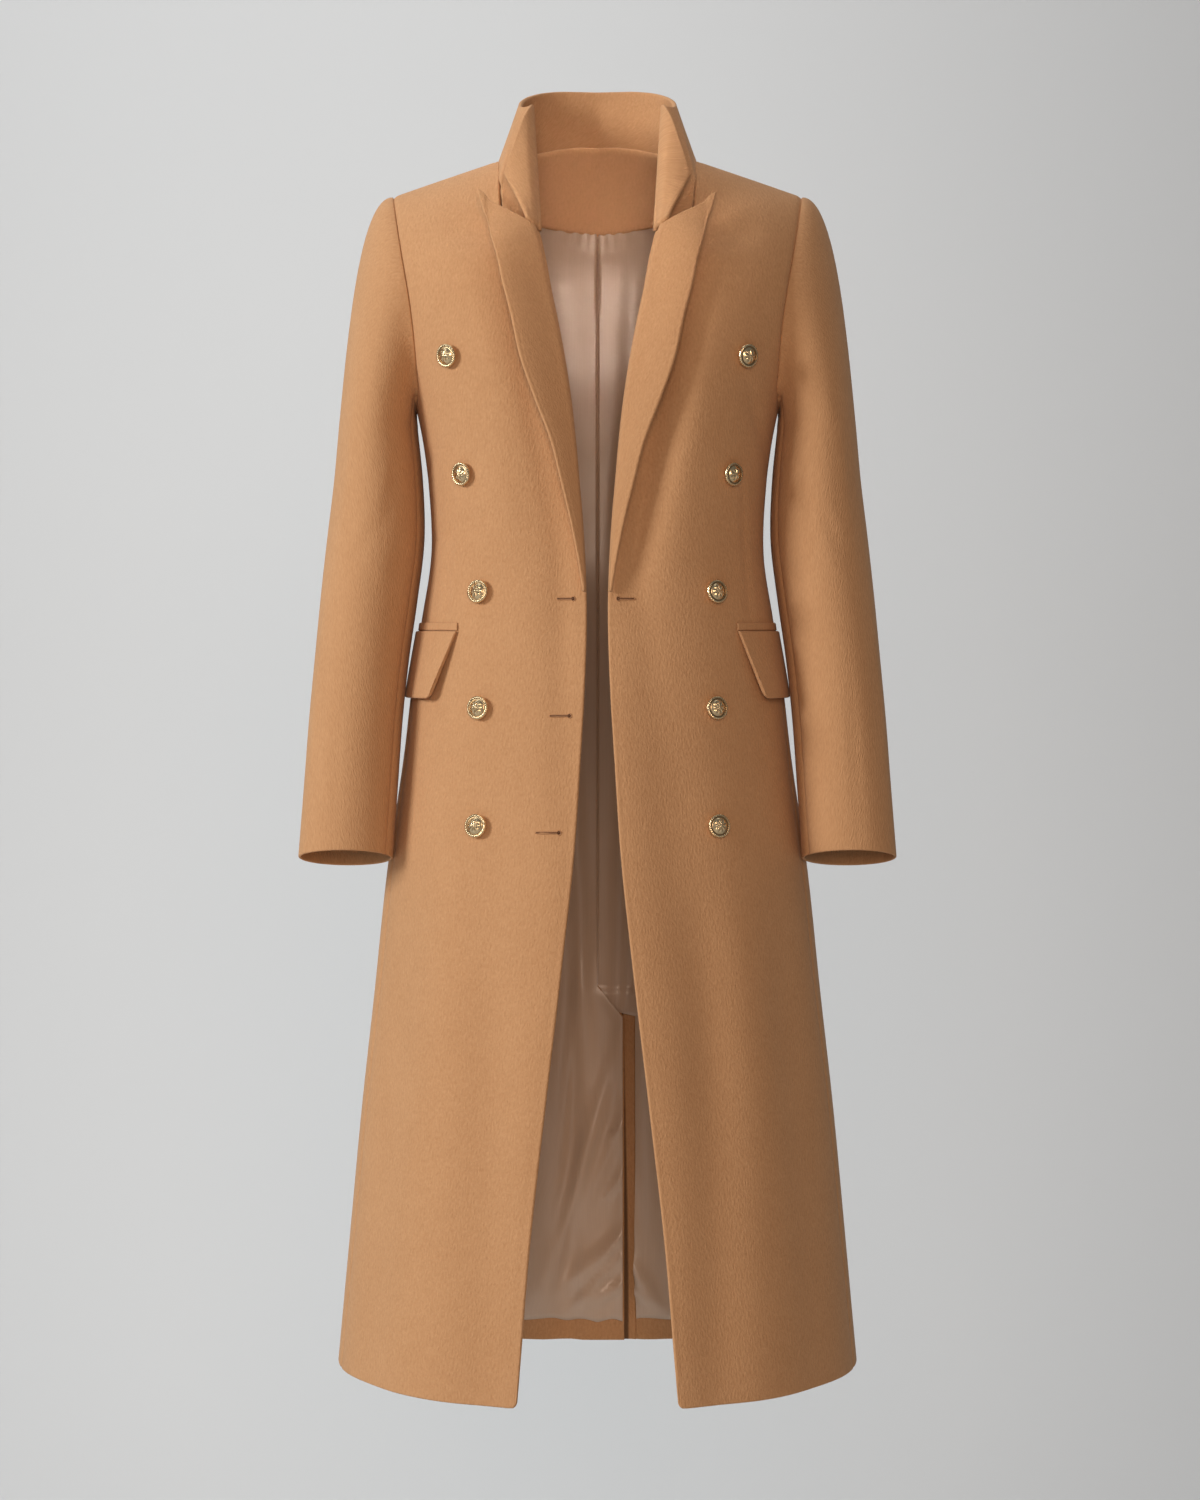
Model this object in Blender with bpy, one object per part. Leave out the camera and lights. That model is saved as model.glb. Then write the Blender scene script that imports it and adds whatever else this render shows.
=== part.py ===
"""Longline blazer coat: a wool coat worn open, filled out as on a wearer who isn't there.

Metres, +Z up. The coat faces -Y, and +X is the wearer's left. The origin is at the base of
the neck, between the two points where the shoulder seams meet the collar. Each cloth wall is
a grid of points on the coat's outer form, with a second grid moved in by the cloth's thickness.
"""
import math

import bpy
import numpy as np

for old in list(bpy.data.objects):
    bpy.data.objects.remove(old)

# Driving sizes
LENGTH = 1.137  # neck point to hem
NECK_HALF = 0.0925  # centre to the neck point of the shoulder seam
TIP_HALF = 0.192  # centre to the shoulder tip
SHOULDER_FALL = 0.033  # neck point down to shoulder tip
NECK_ARCH = 0.022  # extra rise of the form round the neck
NECK_RUN = 0.060  # how far in from the neck point that rise takes
CAP_DROP = 0.130  # height over which the shoulder rounds into the chest
LEVEL_DROP = 0.350  # from here down the rows of the cloth run level
HEM_RISE = 0.006  # how much higher the hem is at the sides
HEM_CORNER = 0.012  # radius of the fronts' lower corners
WOOL = 0.0025  # thickness of the wool cloth
FACED = 0.0042  # thickness of lapel and collar, two layers of it
SATIN = 0.0010  # thickness of the lining
FACING = 0.0012  # thickness of the vent's facing
GAP = 0.0003  # air between pieces that lie on each other
SEAM = 0.0002  # how far each piece stays back from its seam


def rows(names, *values):
    """A table: its columns' names, and one row for each section, point or fold."""
    return dict(zip(names.split(), np.array(values, float).T))


# The coat's outer plan at each drop below the shoulder line: half its width, where in Y it is
# widest, and how far the front and the back reach from there.
BODY = rows(
    "drop half_width side_y front back",
    (0.000, 0.216, 0.000, 0.104, 0.092),
    (0.050, 0.212, 0.000, 0.114, 0.102),
    (0.100, 0.203, 0.000, 0.123, 0.111),
    (0.150, 0.190, 0.001, 0.130, 0.116),
    (0.200, 0.1760, 0.003, 0.134, 0.115),
    (0.240, 0.1672, 0.004, 0.133, 0.109),
    (0.300, 0.1590, 0.005, 0.128, 0.100),
    (0.373, 0.1568, 0.007, 0.123, 0.093),
    (0.430, 0.1655, 0.011, 0.128, 0.096),
    (0.500, 0.1760, 0.017, 0.138, 0.101),
    (0.550, 0.1820, 0.022, 0.145, 0.104),
    (0.665, 0.1990, 0.031, 0.159, 0.105),
    (0.780, 0.2115, 0.038, 0.172, 0.104),
    (0.890, 0.2240, 0.044, 0.185, 0.102),
    (1.000, 0.2345, 0.048, 0.195, 0.101),
    (1.137, 0.2470, 0.051, 0.206, 0.099),
)
FRONT_SQUARENESS = 2.25
BACK_SQUARENESS = 2.45

# The front panel's free edge: neck seam, gorge, roll line and front edge.
FRONT_EDGE = rows(
    "x z",
    (0.0925, 0.000),
    (0.0912, -0.024),
    (0.0903, -0.046),
    (0.0872, -0.065),
    (0.0545, -0.080),
    (0.0485, -0.100),
    (0.0415, -0.137),
    (0.0356, -0.165),
    (0.0287, -0.202),
    (0.0233, -0.238),
    (0.0193, -0.274),
    (0.0161, -0.310),
    (0.0130, -0.346),
    (0.0108, -0.382),
    (0.0096, -0.420),
    (0.0117, -0.502),
    (0.0152, -0.560),
    (0.0212, -0.650),
    (0.0308, -0.740),
    (0.0463, -0.872),
    (0.0608, -0.999),
    (0.0691, -1.097),
    (0.0725, -1.137),
)
# The back neckline, from the centre to the neck point.
BACK_NECK = rows(
    "x z",
    (0.0000, 0.0240),
    (0.0200, 0.0235),
    (0.0400, 0.0205),
    (0.0600, 0.0150),
    (0.0780, 0.0080),
    (0.0925, 0.0000),
)
# How far the front falls back beside its free edge, where the coat gapes above the break.
GAPE = rows(
    "z depth",
    (0.000, 0.000),
    (-0.050, 0.010),
    (-0.100, 0.018),
    (-0.200, 0.019),
    (-0.300, 0.013),
    (-0.380, 0.004),
    (-0.430, 0.000),
    (-1.137, 0.000),
)
GAPE_WIDTH = 0.070

# The armhole seam on the front and on the back, from the shoulder tip to the underarm.
FRONT_ARMHOLE = rows(
    "x z",
    (0.1920, -0.033),
    (0.1862, -0.066),
    (0.1800, -0.100),
    (0.1725, -0.144),
    (0.1688, -0.180),
    (0.1678, -0.205),
)
BACK_ARMHOLE = rows(
    "x z",
    (0.1920, -0.033),
    (0.1890, -0.066),
    (0.1850, -0.100),
    (0.1780, -0.144),
    (0.1725, -0.180),
    (0.1695, -0.205),
)
UNDERARM_DROP = 0.226
PASSING = (0.12, 0.32)  # drops between which a panel's inner columns pass the underarm
PASSING_HELD = 0.20
PASSING_POWER = 8

# The side seam, which hangs straight while the skirt widens behind it.
SIDE_SEAM = rows(
    "drop y",
    (0.226, 0.0035),
    (0.300, 0.000),
    (0.373, -0.006),
    (0.500, -0.013),
    (0.665, -0.020),
    (0.890, -0.016),
    (1.137, -0.006),
)

# Soft folds of the body, as troughs (negative) or ridges along a line from one angle round the
# plan to another, in degrees from the centre front.
FOLDS = rows(
    "side top_angle low_angle top_drop low_drop width depth",
    (1, 33, 14, 0.13, 0.44, 7.5, -0.0050),
    (-1, 40, 24, 0.15, 0.42, 8.0, -0.0022),
    (1, 33, 30, 0.62, 1.30, 7.0, -0.0050),
    (-1, 30, 27, 0.66, 1.30, 7.5, -0.0042),
    (1, 58, 57, 0.60, 1.30, 8.0, -0.0040),
    (-1, 61, 60, 0.55, 1.30, 8.5, -0.0040),
    (1, 128, 122, 0.50, 1.30, 8.0, -0.0065),
    (-1, 124, 119, 0.52, 1.30, 8.5, -0.0060),
    (1, 156, 150, 0.62, 1.30, 7.0, -0.0050),
    (-1, 152, 149, 0.58, 1.30, 7.5, -0.0055),
    (1, 137, 150, 0.16, 0.36, 7.0, -0.0040),
    (-1, 135, 149, 0.17, 0.38, 7.0, -0.0040),
)


def read(table, column, at):
    """A smooth curve through a table's rows: a cubic between rows, with slopes from both sides."""
    known = next(iter(table.values()))
    values = table[column]
    slopes = np.gradient(values, known)
    at = np.clip(np.asarray(at, float), known[0], known[-1])
    k = np.clip(np.searchsorted(known, at) - 1, 0, len(known) - 2)
    step = known[k + 1] - known[k]
    t = (at - known[k]) / step
    start = values[k] * (1 + 2 * t) * (1 - t) ** 2 + slopes[k] * step * t * (1 - t) ** 2
    end = values[k + 1] * t**2 * (3 - 2 * t) + slopes[k + 1] * step * t**2 * (t - 1)
    return start + end


def ease(t):
    """0 to 1 with a level start and end."""
    t = np.clip(t, 0.0, 1.0)
    return t * t * (3 - 2 * t)


# The body's form


def shoulder_height(x):
    """Height of the shoulder's ridge at a distance from the centre."""
    x = np.abs(x)
    slope = SHOULDER_FALL / (TIP_HALF - NECK_HALF)
    inside = np.clip((NECK_HALF - x) / NECK_RUN, 0, 1)
    return slope * (NECK_HALF - x) + NECK_ARCH * (1 - (1 - inside) ** 2)


def height(x, drop):
    """Z of a point at a drop below the shoulder line, which fades out on the way down."""
    z = shoulder_height(x) * (1 - ease(drop / LEVEL_DROP)) - drop
    side = np.abs(x) / BODY["half_width"][-1]
    return z + HEM_RISE * side**2 * (drop / LENGTH) ** 6


def drop_at(x, z):
    """The drop that has this height at this x, by repeated substitution."""
    drop = -np.asarray(z, float)
    for _ in range(30):
        drop = drop + (height(x, drop) - z)
    return drop


def drop_of(row):
    """Drop at a row: rows 0 to 1 round the shoulder in equal angles, then go down evenly."""
    quarter = math.pi / 2
    cap = CAP_DROP * (1 - np.cos(np.minimum(row, 1) * quarter))
    return cap + np.maximum(row - 1, 0) * CAP_DROP * quarter


def row_of(drop):
    """The row at a drop, the reverse of drop_of."""
    quarter = math.pi / 2
    cap = np.arccos(1 - np.minimum(drop, CAP_DROP) / CAP_DROP) / quarter
    return cap + np.maximum(drop - CAP_DROP, 0) / (CAP_DROP * quarter)


def folds(angle, drop, side):
    """The folds' in-and-out at a point: each a bell across its line, and eased in along it."""
    total = np.zeros(np.broadcast(angle, drop).shape)
    for i in np.flatnonzero(FOLDS["side"] == side):
        fold = {name: column[i] for name, column in FOLDS.items()}
        along = (drop - fold["top_drop"]) / (fold["low_drop"] - fold["top_drop"])
        line = fold["top_angle"] + (fold["low_angle"] - fold["top_angle"]) * np.clip(along, 0, 1)
        across = (np.degrees(angle) - line) / fold["width"]
        swell = ease(along * 3) * ease((1 - along) * 3)
        total = total + fold["depth"] * swell * np.exp(-(across**2))
    return total


def coat(angle, row, side):
    """A point of the coat's outer form, for the wearer's left half and mirrored by its user.

    The angle runs from 0 at the centre front to pi at the centre back. The plan is a
    superellipse, flattened towards the shoulder's ridge by the sine of the cap's own angle.
    """
    angle = np.asarray(angle, float)
    drop = drop_of(row)
    ahead = np.cos(angle) > 0
    reach = np.where(ahead, read(BODY, "front", drop), read(BODY, "back", drop))
    power = np.where(ahead, FRONT_SQUARENESS, BACK_SQUARENESS)
    width = read(BODY, "half_width", drop)
    across = np.abs(np.sin(angle) / width) ** power
    radius = (across + np.abs(np.cos(angle) / reach) ** power) ** (-1 / power)
    radius = radius + folds(angle, drop, side)
    rounding = np.sin(np.minimum(row, 1) * math.pi / 2)
    x = radius * np.sin(angle)
    y = rounding * (read(BODY, "side_y", drop) - radius * np.cos(angle))
    z = height(x, drop)
    beside = 1 - ease((x - front_edge_x(drop)) / GAPE_WIDTH)
    gape = read({"drop": -GAPE["z"], "depth": GAPE["depth"]}, "depth", drop) * beside
    return np.stack([x, y + np.where(ahead, gape, 0), z], axis=-1)


def outward(form, first, second, step=1e-4):
    """Unit normals of a form of two parameters, by differences, away from its inside."""
    a = form(first + step, second) - form(first - step, second)
    b = form(first, second + step) - form(first, second - step)
    normal = np.cross(b, a)
    return normal / np.linalg.norm(normal, axis=-1, keepdims=True)


def edge_by_drop(table):
    """An edge's table turned from heights to drops."""
    return {"drop": drop_at(table["x"], table["z"]), "x": table["x"]}


EDGE_BY_DROP = edge_by_drop(FRONT_EDGE)


def front_edge_x(drop):
    return read(EDGE_BY_DROP, "x", drop)


def angle_of_x(x, drop, part):
    """The plan angle where the front or the back half passes a given x."""
    power = FRONT_SQUARENESS if part == "front" else BACK_SQUARENESS
    width = read(BODY, "half_width", drop)
    share = np.clip(1 - np.abs(x / width) ** power, 0, 1) ** (1 / power)
    angle = np.arctan2(x, share * read(BODY, part, drop))
    return angle if part == "front" else math.pi - angle


def side_angle(drop):
    """The plan angle of the side seam, which lies ahead of the widest point on the skirt."""
    front = read(BODY, "front", drop)
    ahead = read(BODY, "side_y", drop) - read(SIDE_SEAM, "y", drop)
    share = np.clip(1 - (np.abs(ahead) / front) ** FRONT_SQUARENESS, 0, 1)
    x = read(BODY, "half_width", drop) * share ** (1 / FRONT_SQUARENESS)
    return np.arctan2(x, ahead)


def armhole_angle(drop, part):
    """The plan angle of the armhole seam, eased to the side seam at the underarm."""
    table = edge_by_drop(FRONT_ARMHOLE if part == "front" else BACK_ARMHOLE)
    angle = angle_of_x(read(table, "x", drop), drop, part)
    low = table["drop"][-1]
    turn = np.clip((drop - low) / (UNDERARM_DROP - low), 0, 1)
    held = angle_of_x(table["x"][-1], low, part)
    under = side_angle(UNDERARM_DROP)
    curve = held + (under - held) * (1 - np.sqrt(np.clip(1 - turn**2, 0, 1)))
    return np.where(drop < low, angle, curve)


def outer_angle(drop, part):
    """The panel's outer limit at a drop: armhole above the underarm, side seam below."""
    seam = side_angle(np.maximum(drop, UNDERARM_DROP))
    return np.where(drop < UNDERARM_DROP, armhole_angle(drop, part), seam)


def across_panel(start, share, drop, part):
    """Plan angles across a panel, by shares of the way from its inner to its outer limit.

    Round the underarm the outer limit turns sharply; inner columns follow a smooth line there.
    """
    passing = ease((drop - PASSING[0]) / (PASSING[1] - PASSING[0]))
    above = armhole_angle(np.minimum(drop, PASSING_HELD), part)
    below = side_angle(np.maximum(drop, UNDERARM_DROP))
    smooth = above + (below - above) * passing
    return start + (smooth - start) * share + (outer_angle(drop, part) - smooth) * share**PASSING_POWER


# Making solids


def material(name, colour, roughness, metallic=0.0):
    made = bpy.data.materials.new(name)
    made.use_nodes = True
    shader = made.node_tree.nodes["Principled BSDF"]
    shader.inputs["Base Color"].default_value = (*colour, 1.0)
    shader.inputs["Roughness"].default_value = roughness
    shader.inputs["Metallic"].default_value = metallic
    return made


def pulled_in(grid, by=SEAM):
    """The grid with its four edges moved towards their neighbours, to leave a seam's gap."""
    grid = grid.copy()
    for _ in range(2):
        for end, beside in ((0, 1), (-1, -2)):
            step = grid[beside] - grid[end]
            grid[end] += by * step / np.linalg.norm(step, axis=-1, keepdims=True)
        grid = np.swapaxes(grid, 0, 1)
    return grid


def add_mesh(name, points, faces, finish):
    mesh = bpy.data.meshes.new(name)
    mesh.from_pydata([tuple(p) for p in points], [], faces)
    mesh.materials.append(finish)
    mesh.shade_smooth()
    mesh.set_sharp_from_angle(angle=math.radians(40))
    made = bpy.data.objects.new(name, mesh)
    bpy.context.scene.collection.objects.link(made)
    return made


def add_wall(name, outer, inner, finish):
    """A closed wall between two grids of points, with a strip round its edge."""
    down, across = outer.shape[:2]
    points = np.concatenate([outer.reshape(-1, 3), inner.reshape(-1, 3)])
    middle = points.mean(axis=0)
    number = np.arange(down * across).reshape(down, across)
    faces = []
    for i in range(down - 1):
        for j in range(across - 1):
            a, b, c, d = number[i, j], number[i + 1, j], number[i + 1, j + 1], number[i, j + 1]
            faces += [(a, b, c), (a, c, d)]
    faces += [tuple(k + down * across for k in face[::-1]) for face in faces]
    rim = [*number[0, :-1], *number[:-1, -1], *number[-1, :0:-1], *number[:0:-1, 0]]
    for a, b in zip(rim, rim[1:] + rim[:1]):
        c, d = b + down * across, a + down * across
        faces += [(a, b, c), (a, c, d)]
    faces = [tuple(int(k) for k in face) for face in faces]
    a, b, c = (points[[face[k] for face in faces]] - middle for k in range(3))
    if np.einsum("ij,ij->", a, np.cross(b, c)) < 0:
        faces = [face[::-1] for face in faces]
    return add_mesh(name, points, faces, finish)


def mirrored(points, side):
    return points * np.array([side, 1.0, 1.0])


def add_layer(name, side, angle, row, near, thick, finish):
    """A wall on the coat's form: moved in from it by near, and as thick as given.

    near may vary from point to point, and is negative for what lies outside the form.
    """
    form = lambda a, r: coat(a, r, side)
    base = form(angle, row)
    normal = outward(form, angle, row)
    near = np.broadcast_to(np.asarray(near, float), angle.shape)[..., None]
    outer = pulled_in(base - normal * near)
    inner = pulled_in(base - normal * (near + thick))
    return add_wall(name, mirrored(outer, side), mirrored(inner, side), finish)


# Body panels

CAMEL = material("camel_wool", (0.56, 0.31, 0.155), 0.85)
TAUPE = material("taupe_satin", (0.30, 0.215, 0.165), 0.38)
GOLD = material("gold_metal", (0.83, 0.62, 0.28), 0.25, 1.0)

SHOULDER_TURNS = np.array([0.0, 0.12, 0.23, 0.34, 0.43, 0.55, 0.70, 0.85, 1.0])
FRONT_DROPS = (0.155, 0.18, 0.205, 0.217, 0.2235, 0.226, 0.26, 0.30, 0.34, 0.38, 0.42, 0.46, 0.50, 0.55,
               0.60, 0.66, 0.72, 0.79, 0.86, 0.93, 1.00, 1.07, 1.11, 1.137)
VENT_TOP = 0.785
VENT_SLANT = 0.030  # the underlap's top edge slants down by this much
UNDERLAP_ANGLES = (math.pi - 0.27, math.pi - 0.13)  # between these it sinks under
UNDERLAP_RUN = (0.745, 0.795)  # and between these drops
UNDERLAP = 0.026  # how far the wearer's right back passes under the left one
BACK_DROPS = (0.155, 0.18, 0.205, 0.217, 0.2235, 0.226, 0.26, 0.30, 0.34, 0.38, 0.42, 0.46, 0.50, 0.55,
              0.60, 0.66, 0.72, VENT_TOP, VENT_TOP + VENT_SLANT, 0.87, 0.93, 1.00, 1.07, 1.137)
FRONT_COLUMNS = 11
BACK_COLUMNS = 11
EDGE_COLUMNS = (0.0, 0.005, 0.012)  # fine columns beside a front's free edge


def body_rows(drops):
    return np.concatenate([SHOULDER_TURNS, row_of(np.array(drops))])


def front_panel(name, side):
    row = body_rows(FRONT_DROPS)
    row[0] = 0.002
    drop = drop_of(row)
    start = angle_of_x(front_edge_x(drop), drop, "front")
    width = read(BODY, "half_width", drop)
    even = np.linspace(0, 1, FRONT_COLUMNS)
    fine = np.array(EDGE_COLUMNS)[None, :] / width[:, None]
    shares = np.concatenate([fine, fine[:, -1:] + (1 - fine[:, -1:]) * even[None, 1:]], axis=1)
    angle = across_panel(start[:, None], shares, drop[:, None], "front")
    row = np.repeat(row[:, None], angle.shape[1], axis=1)
    distance = np.minimum(shares[-1] * width[-1], HEM_CORNER)
    edge = HEM_CORNER - np.sqrt(HEM_CORNER**2 - (HEM_CORNER - distance) ** 2)
    row[-1] = row_of(drop[-1] - edge)
    return add_layer(name, side, angle, row, 0.0, WOOL, CAMEL)


def underlap_depth(angle, drop):
    """How far the right back sinks under the left one at the vent, by its place across."""
    past = (angle - UNDERLAP_ANGLES[0]) / (UNDERLAP_ANGLES[1] - UNDERLAP_ANGLES[0])
    down = (drop - UNDERLAP_RUN[0]) / (UNDERLAP_RUN[1] - UNDERLAP_RUN[0])
    return (WOOL + FACING + 6 * GAP) * ease(past) * ease(down)


def back_neck_x(drop):
    """Half-width of the back neckline at a drop."""
    known = drop_at(BACK_NECK["x"], BACK_NECK["z"])
    return np.interp(drop, known[::-1], BACK_NECK["x"][::-1])


def centre_angle(drop, side, lap=UNDERLAP):
    """The back panel's inner limit: neckline, centre seam, then the vent's edge."""
    neck = angle_of_x(back_neck_x(drop), drop, "back")
    if side > 0:
        return neck
    past = np.clip((drop - VENT_TOP) / VENT_SLANT, 0, 1) * lap
    return neck + past / read(BODY, "back", drop)


def back_panel(name, side):
    row = body_rows(BACK_DROPS)
    row[0] = 0.002
    drop = drop_of(row)
    start = centre_angle(drop, side)
    share = np.linspace(0, 1, BACK_COLUMNS)
    angle = across_panel(start[:, None], share, drop[:, None], "back")
    row = np.repeat(row[:, None], angle.shape[1], axis=1)
    near = underlap_depth(angle, drop_of(row)) if side < 0 else 0.0
    return add_layer(name, side, angle, row, near, WOOL, CAMEL)


# Sleeves

# Rings of the hanging sleeve, at each depth below the neck point: its outer and inner limits in
# X, the middle in Y, half its depth, and how much its front edge is raised.
SLEEVE = rows(
    "down outer inner middle_y half_depth rise",
    (0.250, 0.2425, 0.1690, 0.000, 0.0680, 0.0000),
    (0.300, 0.2470, 0.1640, -0.001, 0.0660, 0.0000),
    (0.354, 0.2533, 0.1624, -0.004, 0.0620, 0.0010),
    (0.411, 0.2590, 0.1685, -0.010, 0.0575, 0.0030),
    (0.467, 0.2637, 0.1760, -0.017, 0.0525, 0.0050),
    (0.524, 0.2684, 0.1815, -0.024, 0.0475, 0.0070),
    (0.580, 0.2720, 0.1850, -0.031, 0.0430, 0.0085),
    (0.652, 0.2770, 0.1895, -0.038, 0.0385, 0.0085),
)
BICEP = 0.250
CUFF = 0.652
HEAD_OUT = np.array([0.45, 0.0, 0.027])  # the sleeve's head stands out this much at its seam
HEAD_DOWN = np.array([0.09, 0.0, -0.90])  # and runs so into the bicep ring, as shares of its reach
FRONT_SEAM = math.radians(-65)  # angles round the sleeve: 0 front, 90 outer, -90 underarm
BACK_SEAM = math.radians(140)
SLEEVE_FAN = np.linspace(0, 1, 8)
SLEEVE_DOWNS = (0.275, 0.305, 0.34, 0.38, 0.42, 0.465, 0.515, 0.565, 0.61, CUFF)


def armhole_curve(part, side):
    """The armhole on the front or the back, from the tip to the underarm, by its own length."""
    drop = UNDERARM_DROP * (1 - np.cos(np.linspace(0.01, math.pi, 240))) / 2
    points = coat(armhole_angle(drop, part), row_of(drop), side)
    length = np.cumsum(np.linalg.norm(np.diff(points, axis=0), axis=1))
    share = np.concatenate([[0], length / length[-1]])
    return share, points


def armhole(angle, side):
    """The armhole's point for an angle round the sleeve."""
    quarter = math.pi / 2
    angle = (angle + quarter) % (2 * math.pi) - quarter
    found = []
    for part, share in (("front", (quarter - angle) / math.pi), ("back", (angle - quarter) / math.pi)):
        known, points = armhole_curve(part, side)
        found.append(np.stack([np.interp(share, known, points[:, k]) for k in range(3)], axis=-1))
    return np.where((angle <= quarter)[..., None], found[0], found[1])


def sleeve_ring(angle, down):
    """A point of the hanging sleeve's rings."""
    outer, inner = read(SLEEVE, "outer", down), read(SLEEVE, "inner", down)
    x = (outer + inner) / 2 + (outer - inner) / 2 * np.sin(angle)
    y = read(SLEEVE, "middle_y", down) - read(SLEEVE, "half_depth", down) * np.cos(angle)
    return np.stack([x, y, read(SLEEVE, "rise", down) * np.cos(angle) - down], axis=-1)


def sleeve(angle, reach, side):
    """A point of the sleeve: reach 0 to 1 fans out from the armhole and turns down to the
    bicep ring on cubics that start level and outwards; past 1 it goes down the rings."""
    angle, reach = np.broadcast_arrays(angle, reach)
    start, end = armhole(angle, side), sleeve_ring(angle, BICEP)
    far = np.linalg.norm(end - start, axis=-1, keepdims=True)
    t = np.minimum(reach, 1)[..., None]
    fan = start * (1 + 2 * t) * (1 - t) ** 2 + far * HEAD_OUT * t * (1 - t) ** 2
    fan = fan + end * t**2 * (3 - 2 * t) + far * HEAD_DOWN * t**2 * (t - 1)
    return np.where((reach > 1)[..., None], sleeve_ring(angle, BICEP + np.maximum(reach - 1, 0)), fan)


def sleeve_piece(name, side, start, end, columns):
    reach = np.concatenate([SLEEVE_FAN, np.array(SLEEVE_DOWNS) - BICEP + 1])
    angle, reach = np.meshgrid(np.linspace(start, end, columns), reach)
    form = lambda a, r: sleeve(a, r, side)
    base = form(angle, reach)
    normal = outward(form, angle, reach)
    outer, inner = pulled_in(base), pulled_in(base - normal * WOOL)
    return add_wall(name, mirrored(outer, side), mirrored(inner, side), CAMEL)


# Collar

# The collar's top edge, a row for each place along the neckline's own rows: it stands at the
# back and drops towards the front.
COLLAR_TOP = rows(
    "x y z",
    (0.0000, 0.0585, 0.0800),
    (0.0180, 0.0570, 0.0800),
    (0.0360, 0.0520, 0.0790),
    (0.0520, 0.0425, 0.0755),
    (0.0635, 0.0270, 0.0690),
    (0.0700, 0.0080, 0.0605),
    (0.0717, -0.0090, 0.0525),
    (0.0700, -0.0210, 0.0475),
    (0.0660, -0.0290, 0.0455),
    (0.0610, -0.0330, 0.0460),
)
# Past the fold the front corner is turned back outside: its gorge seam and its free edge.
COLLAR_LEAF = rows(
    "x_low y_low z_low x_top y_top z_top",
    (0.0548, -0.1005, -0.0785, 0.0628, -0.0415, 0.0440),
    (0.0578, -0.1050, -0.0768, 0.0685, -0.0530, 0.0310),
    (0.0608, -0.1062, -0.0744, 0.0775, -0.0680, 0.0000),
    (0.0640, -0.1080, -0.0716, 0.0850, -0.0775, -0.0270),
)
COLLAR_FOOT = 0.012  # share of its height by which the collar stands off the neck seam


def form_point(x, z, part, side=1):
    """The point of the coat's form at a given x and height, on its front or its back."""
    drop = drop_at(x, z)
    return coat(angle_of_x(x, drop, part), row_of(drop), side)


# How far the collar's thick foot is moved in from the neckline, by station from the neck point on.
COLLAR_INSET = rows(
    "x y z",
    (-0.0034, 0.0000, 0.0000),
    (-0.0045, 0.0008, 0.0000),
    (-0.0040, 0.0020, 0.0006),
    (-0.0050, 0.0040, 0.0020),
    (0.0000, 0.0034, 0.0010),
)


def collar_stations():
    """The collar's lower and upper points by station, from the wearer's right end to the left."""
    back = form_point(BACK_NECK["x"], BACK_NECK["z"], "back")
    front = form_point(FRONT_EDGE["x"][1:5], FRONT_EDGE["z"][1:5], "front")
    leaf_low = np.stack([COLLAR_LEAF[k] for k in ("x_low", "y_low", "z_low")], axis=-1)
    leaf_top = np.stack([COLLAR_LEAF[k] for k in ("x_top", "y_top", "z_top")], axis=-1)
    low = np.concatenate([back, front, leaf_low])
    inset = np.stack([COLLAR_INSET[k] for k in "xyz"], axis=-1)
    neck_point = len(back) - 1
    low[neck_point : neck_point + len(inset)] += inset
    top = np.concatenate([np.stack([COLLAR_TOP[k] for k in "xyz"], axis=-1), leaf_top])
    half = np.stack([low, top])
    return np.concatenate([mirrored(half[:, :0:-1], -1), half], axis=1)


def collar_form(station, up):
    low, top = collar_stations()
    reach = len(low) // 2
    place = np.arange(-reach, reach + 1.0)
    ends = []
    for points in (low, top):
        table = {"place": place, "x": points[:, 0], "y": points[:, 1], "z": points[:, 2]}
        ends.append(np.stack([read(table, k, station) for k in "xyz"], axis=-1))
    return ends[0] + (ends[1] - ends[0]) * up[..., None]


def collar(name):
    turn = len(COLLAR_TOP["x"]) - 1
    end = turn + len(COLLAR_LEAF["x_low"])
    half = np.concatenate([np.arange(0, turn - 1, 0.5), np.arange(turn - 1, turn + 2, 0.25),
                           np.arange(turn + 2, end + 0.1, 0.5)])
    station = np.concatenate([-half[:0:-1], half])
    station, up = np.meshgrid(station, np.array([COLLAR_FOOT, 0.33, 0.67, 1.0]))
    base = collar_form(station, up)
    normal = outward(collar_form, np.clip(station, -end + 0.01, end - 0.01), np.clip(up, 0.01, 0.99))
    return add_wall(name, base + normal * FACED / 2, base - normal * FACED / 2, CAMEL)


# Lapels

LAPEL = rows(
    "share roll_x roll_z edge_x edge_z",
    (0.00, 0.0550, -0.0795, 0.1050, -0.0525),
    (0.05, 0.0522, -0.0880, 0.1003, -0.0710),
    (0.10, 0.0492, -0.1000, 0.0958, -0.0890),
    (0.17, 0.0452, -0.1200, 0.0905, -0.1110),
    (0.24, 0.0419, -0.1370, 0.0850, -0.1340),
    (0.33, 0.0360, -0.1650, 0.0792, -0.1640),
    (0.44, 0.0291, -0.2020, 0.0708, -0.2020),
    (0.54, 0.0237, -0.2380, 0.0585, -0.2375),
    (0.63, 0.0197, -0.2740, 0.0440, -0.2745),
    (0.72, 0.0165, -0.3100, 0.0345, -0.3090),
    (0.81, 0.0134, -0.3460, 0.0250, -0.3450),
    (0.91, 0.0112, -0.3820, 0.0176, -0.3815),
    (1.00, 0.0102, -0.4100, 0.0135, -0.4095),
)


PEAK_LIFT = 0.0050  # how far the lapel's top stands off the chest, and over what share
PEAK_SHARE = 0.3
EDGE_LIFT = 0.0080  # how far its free edge stands off besides


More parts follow.
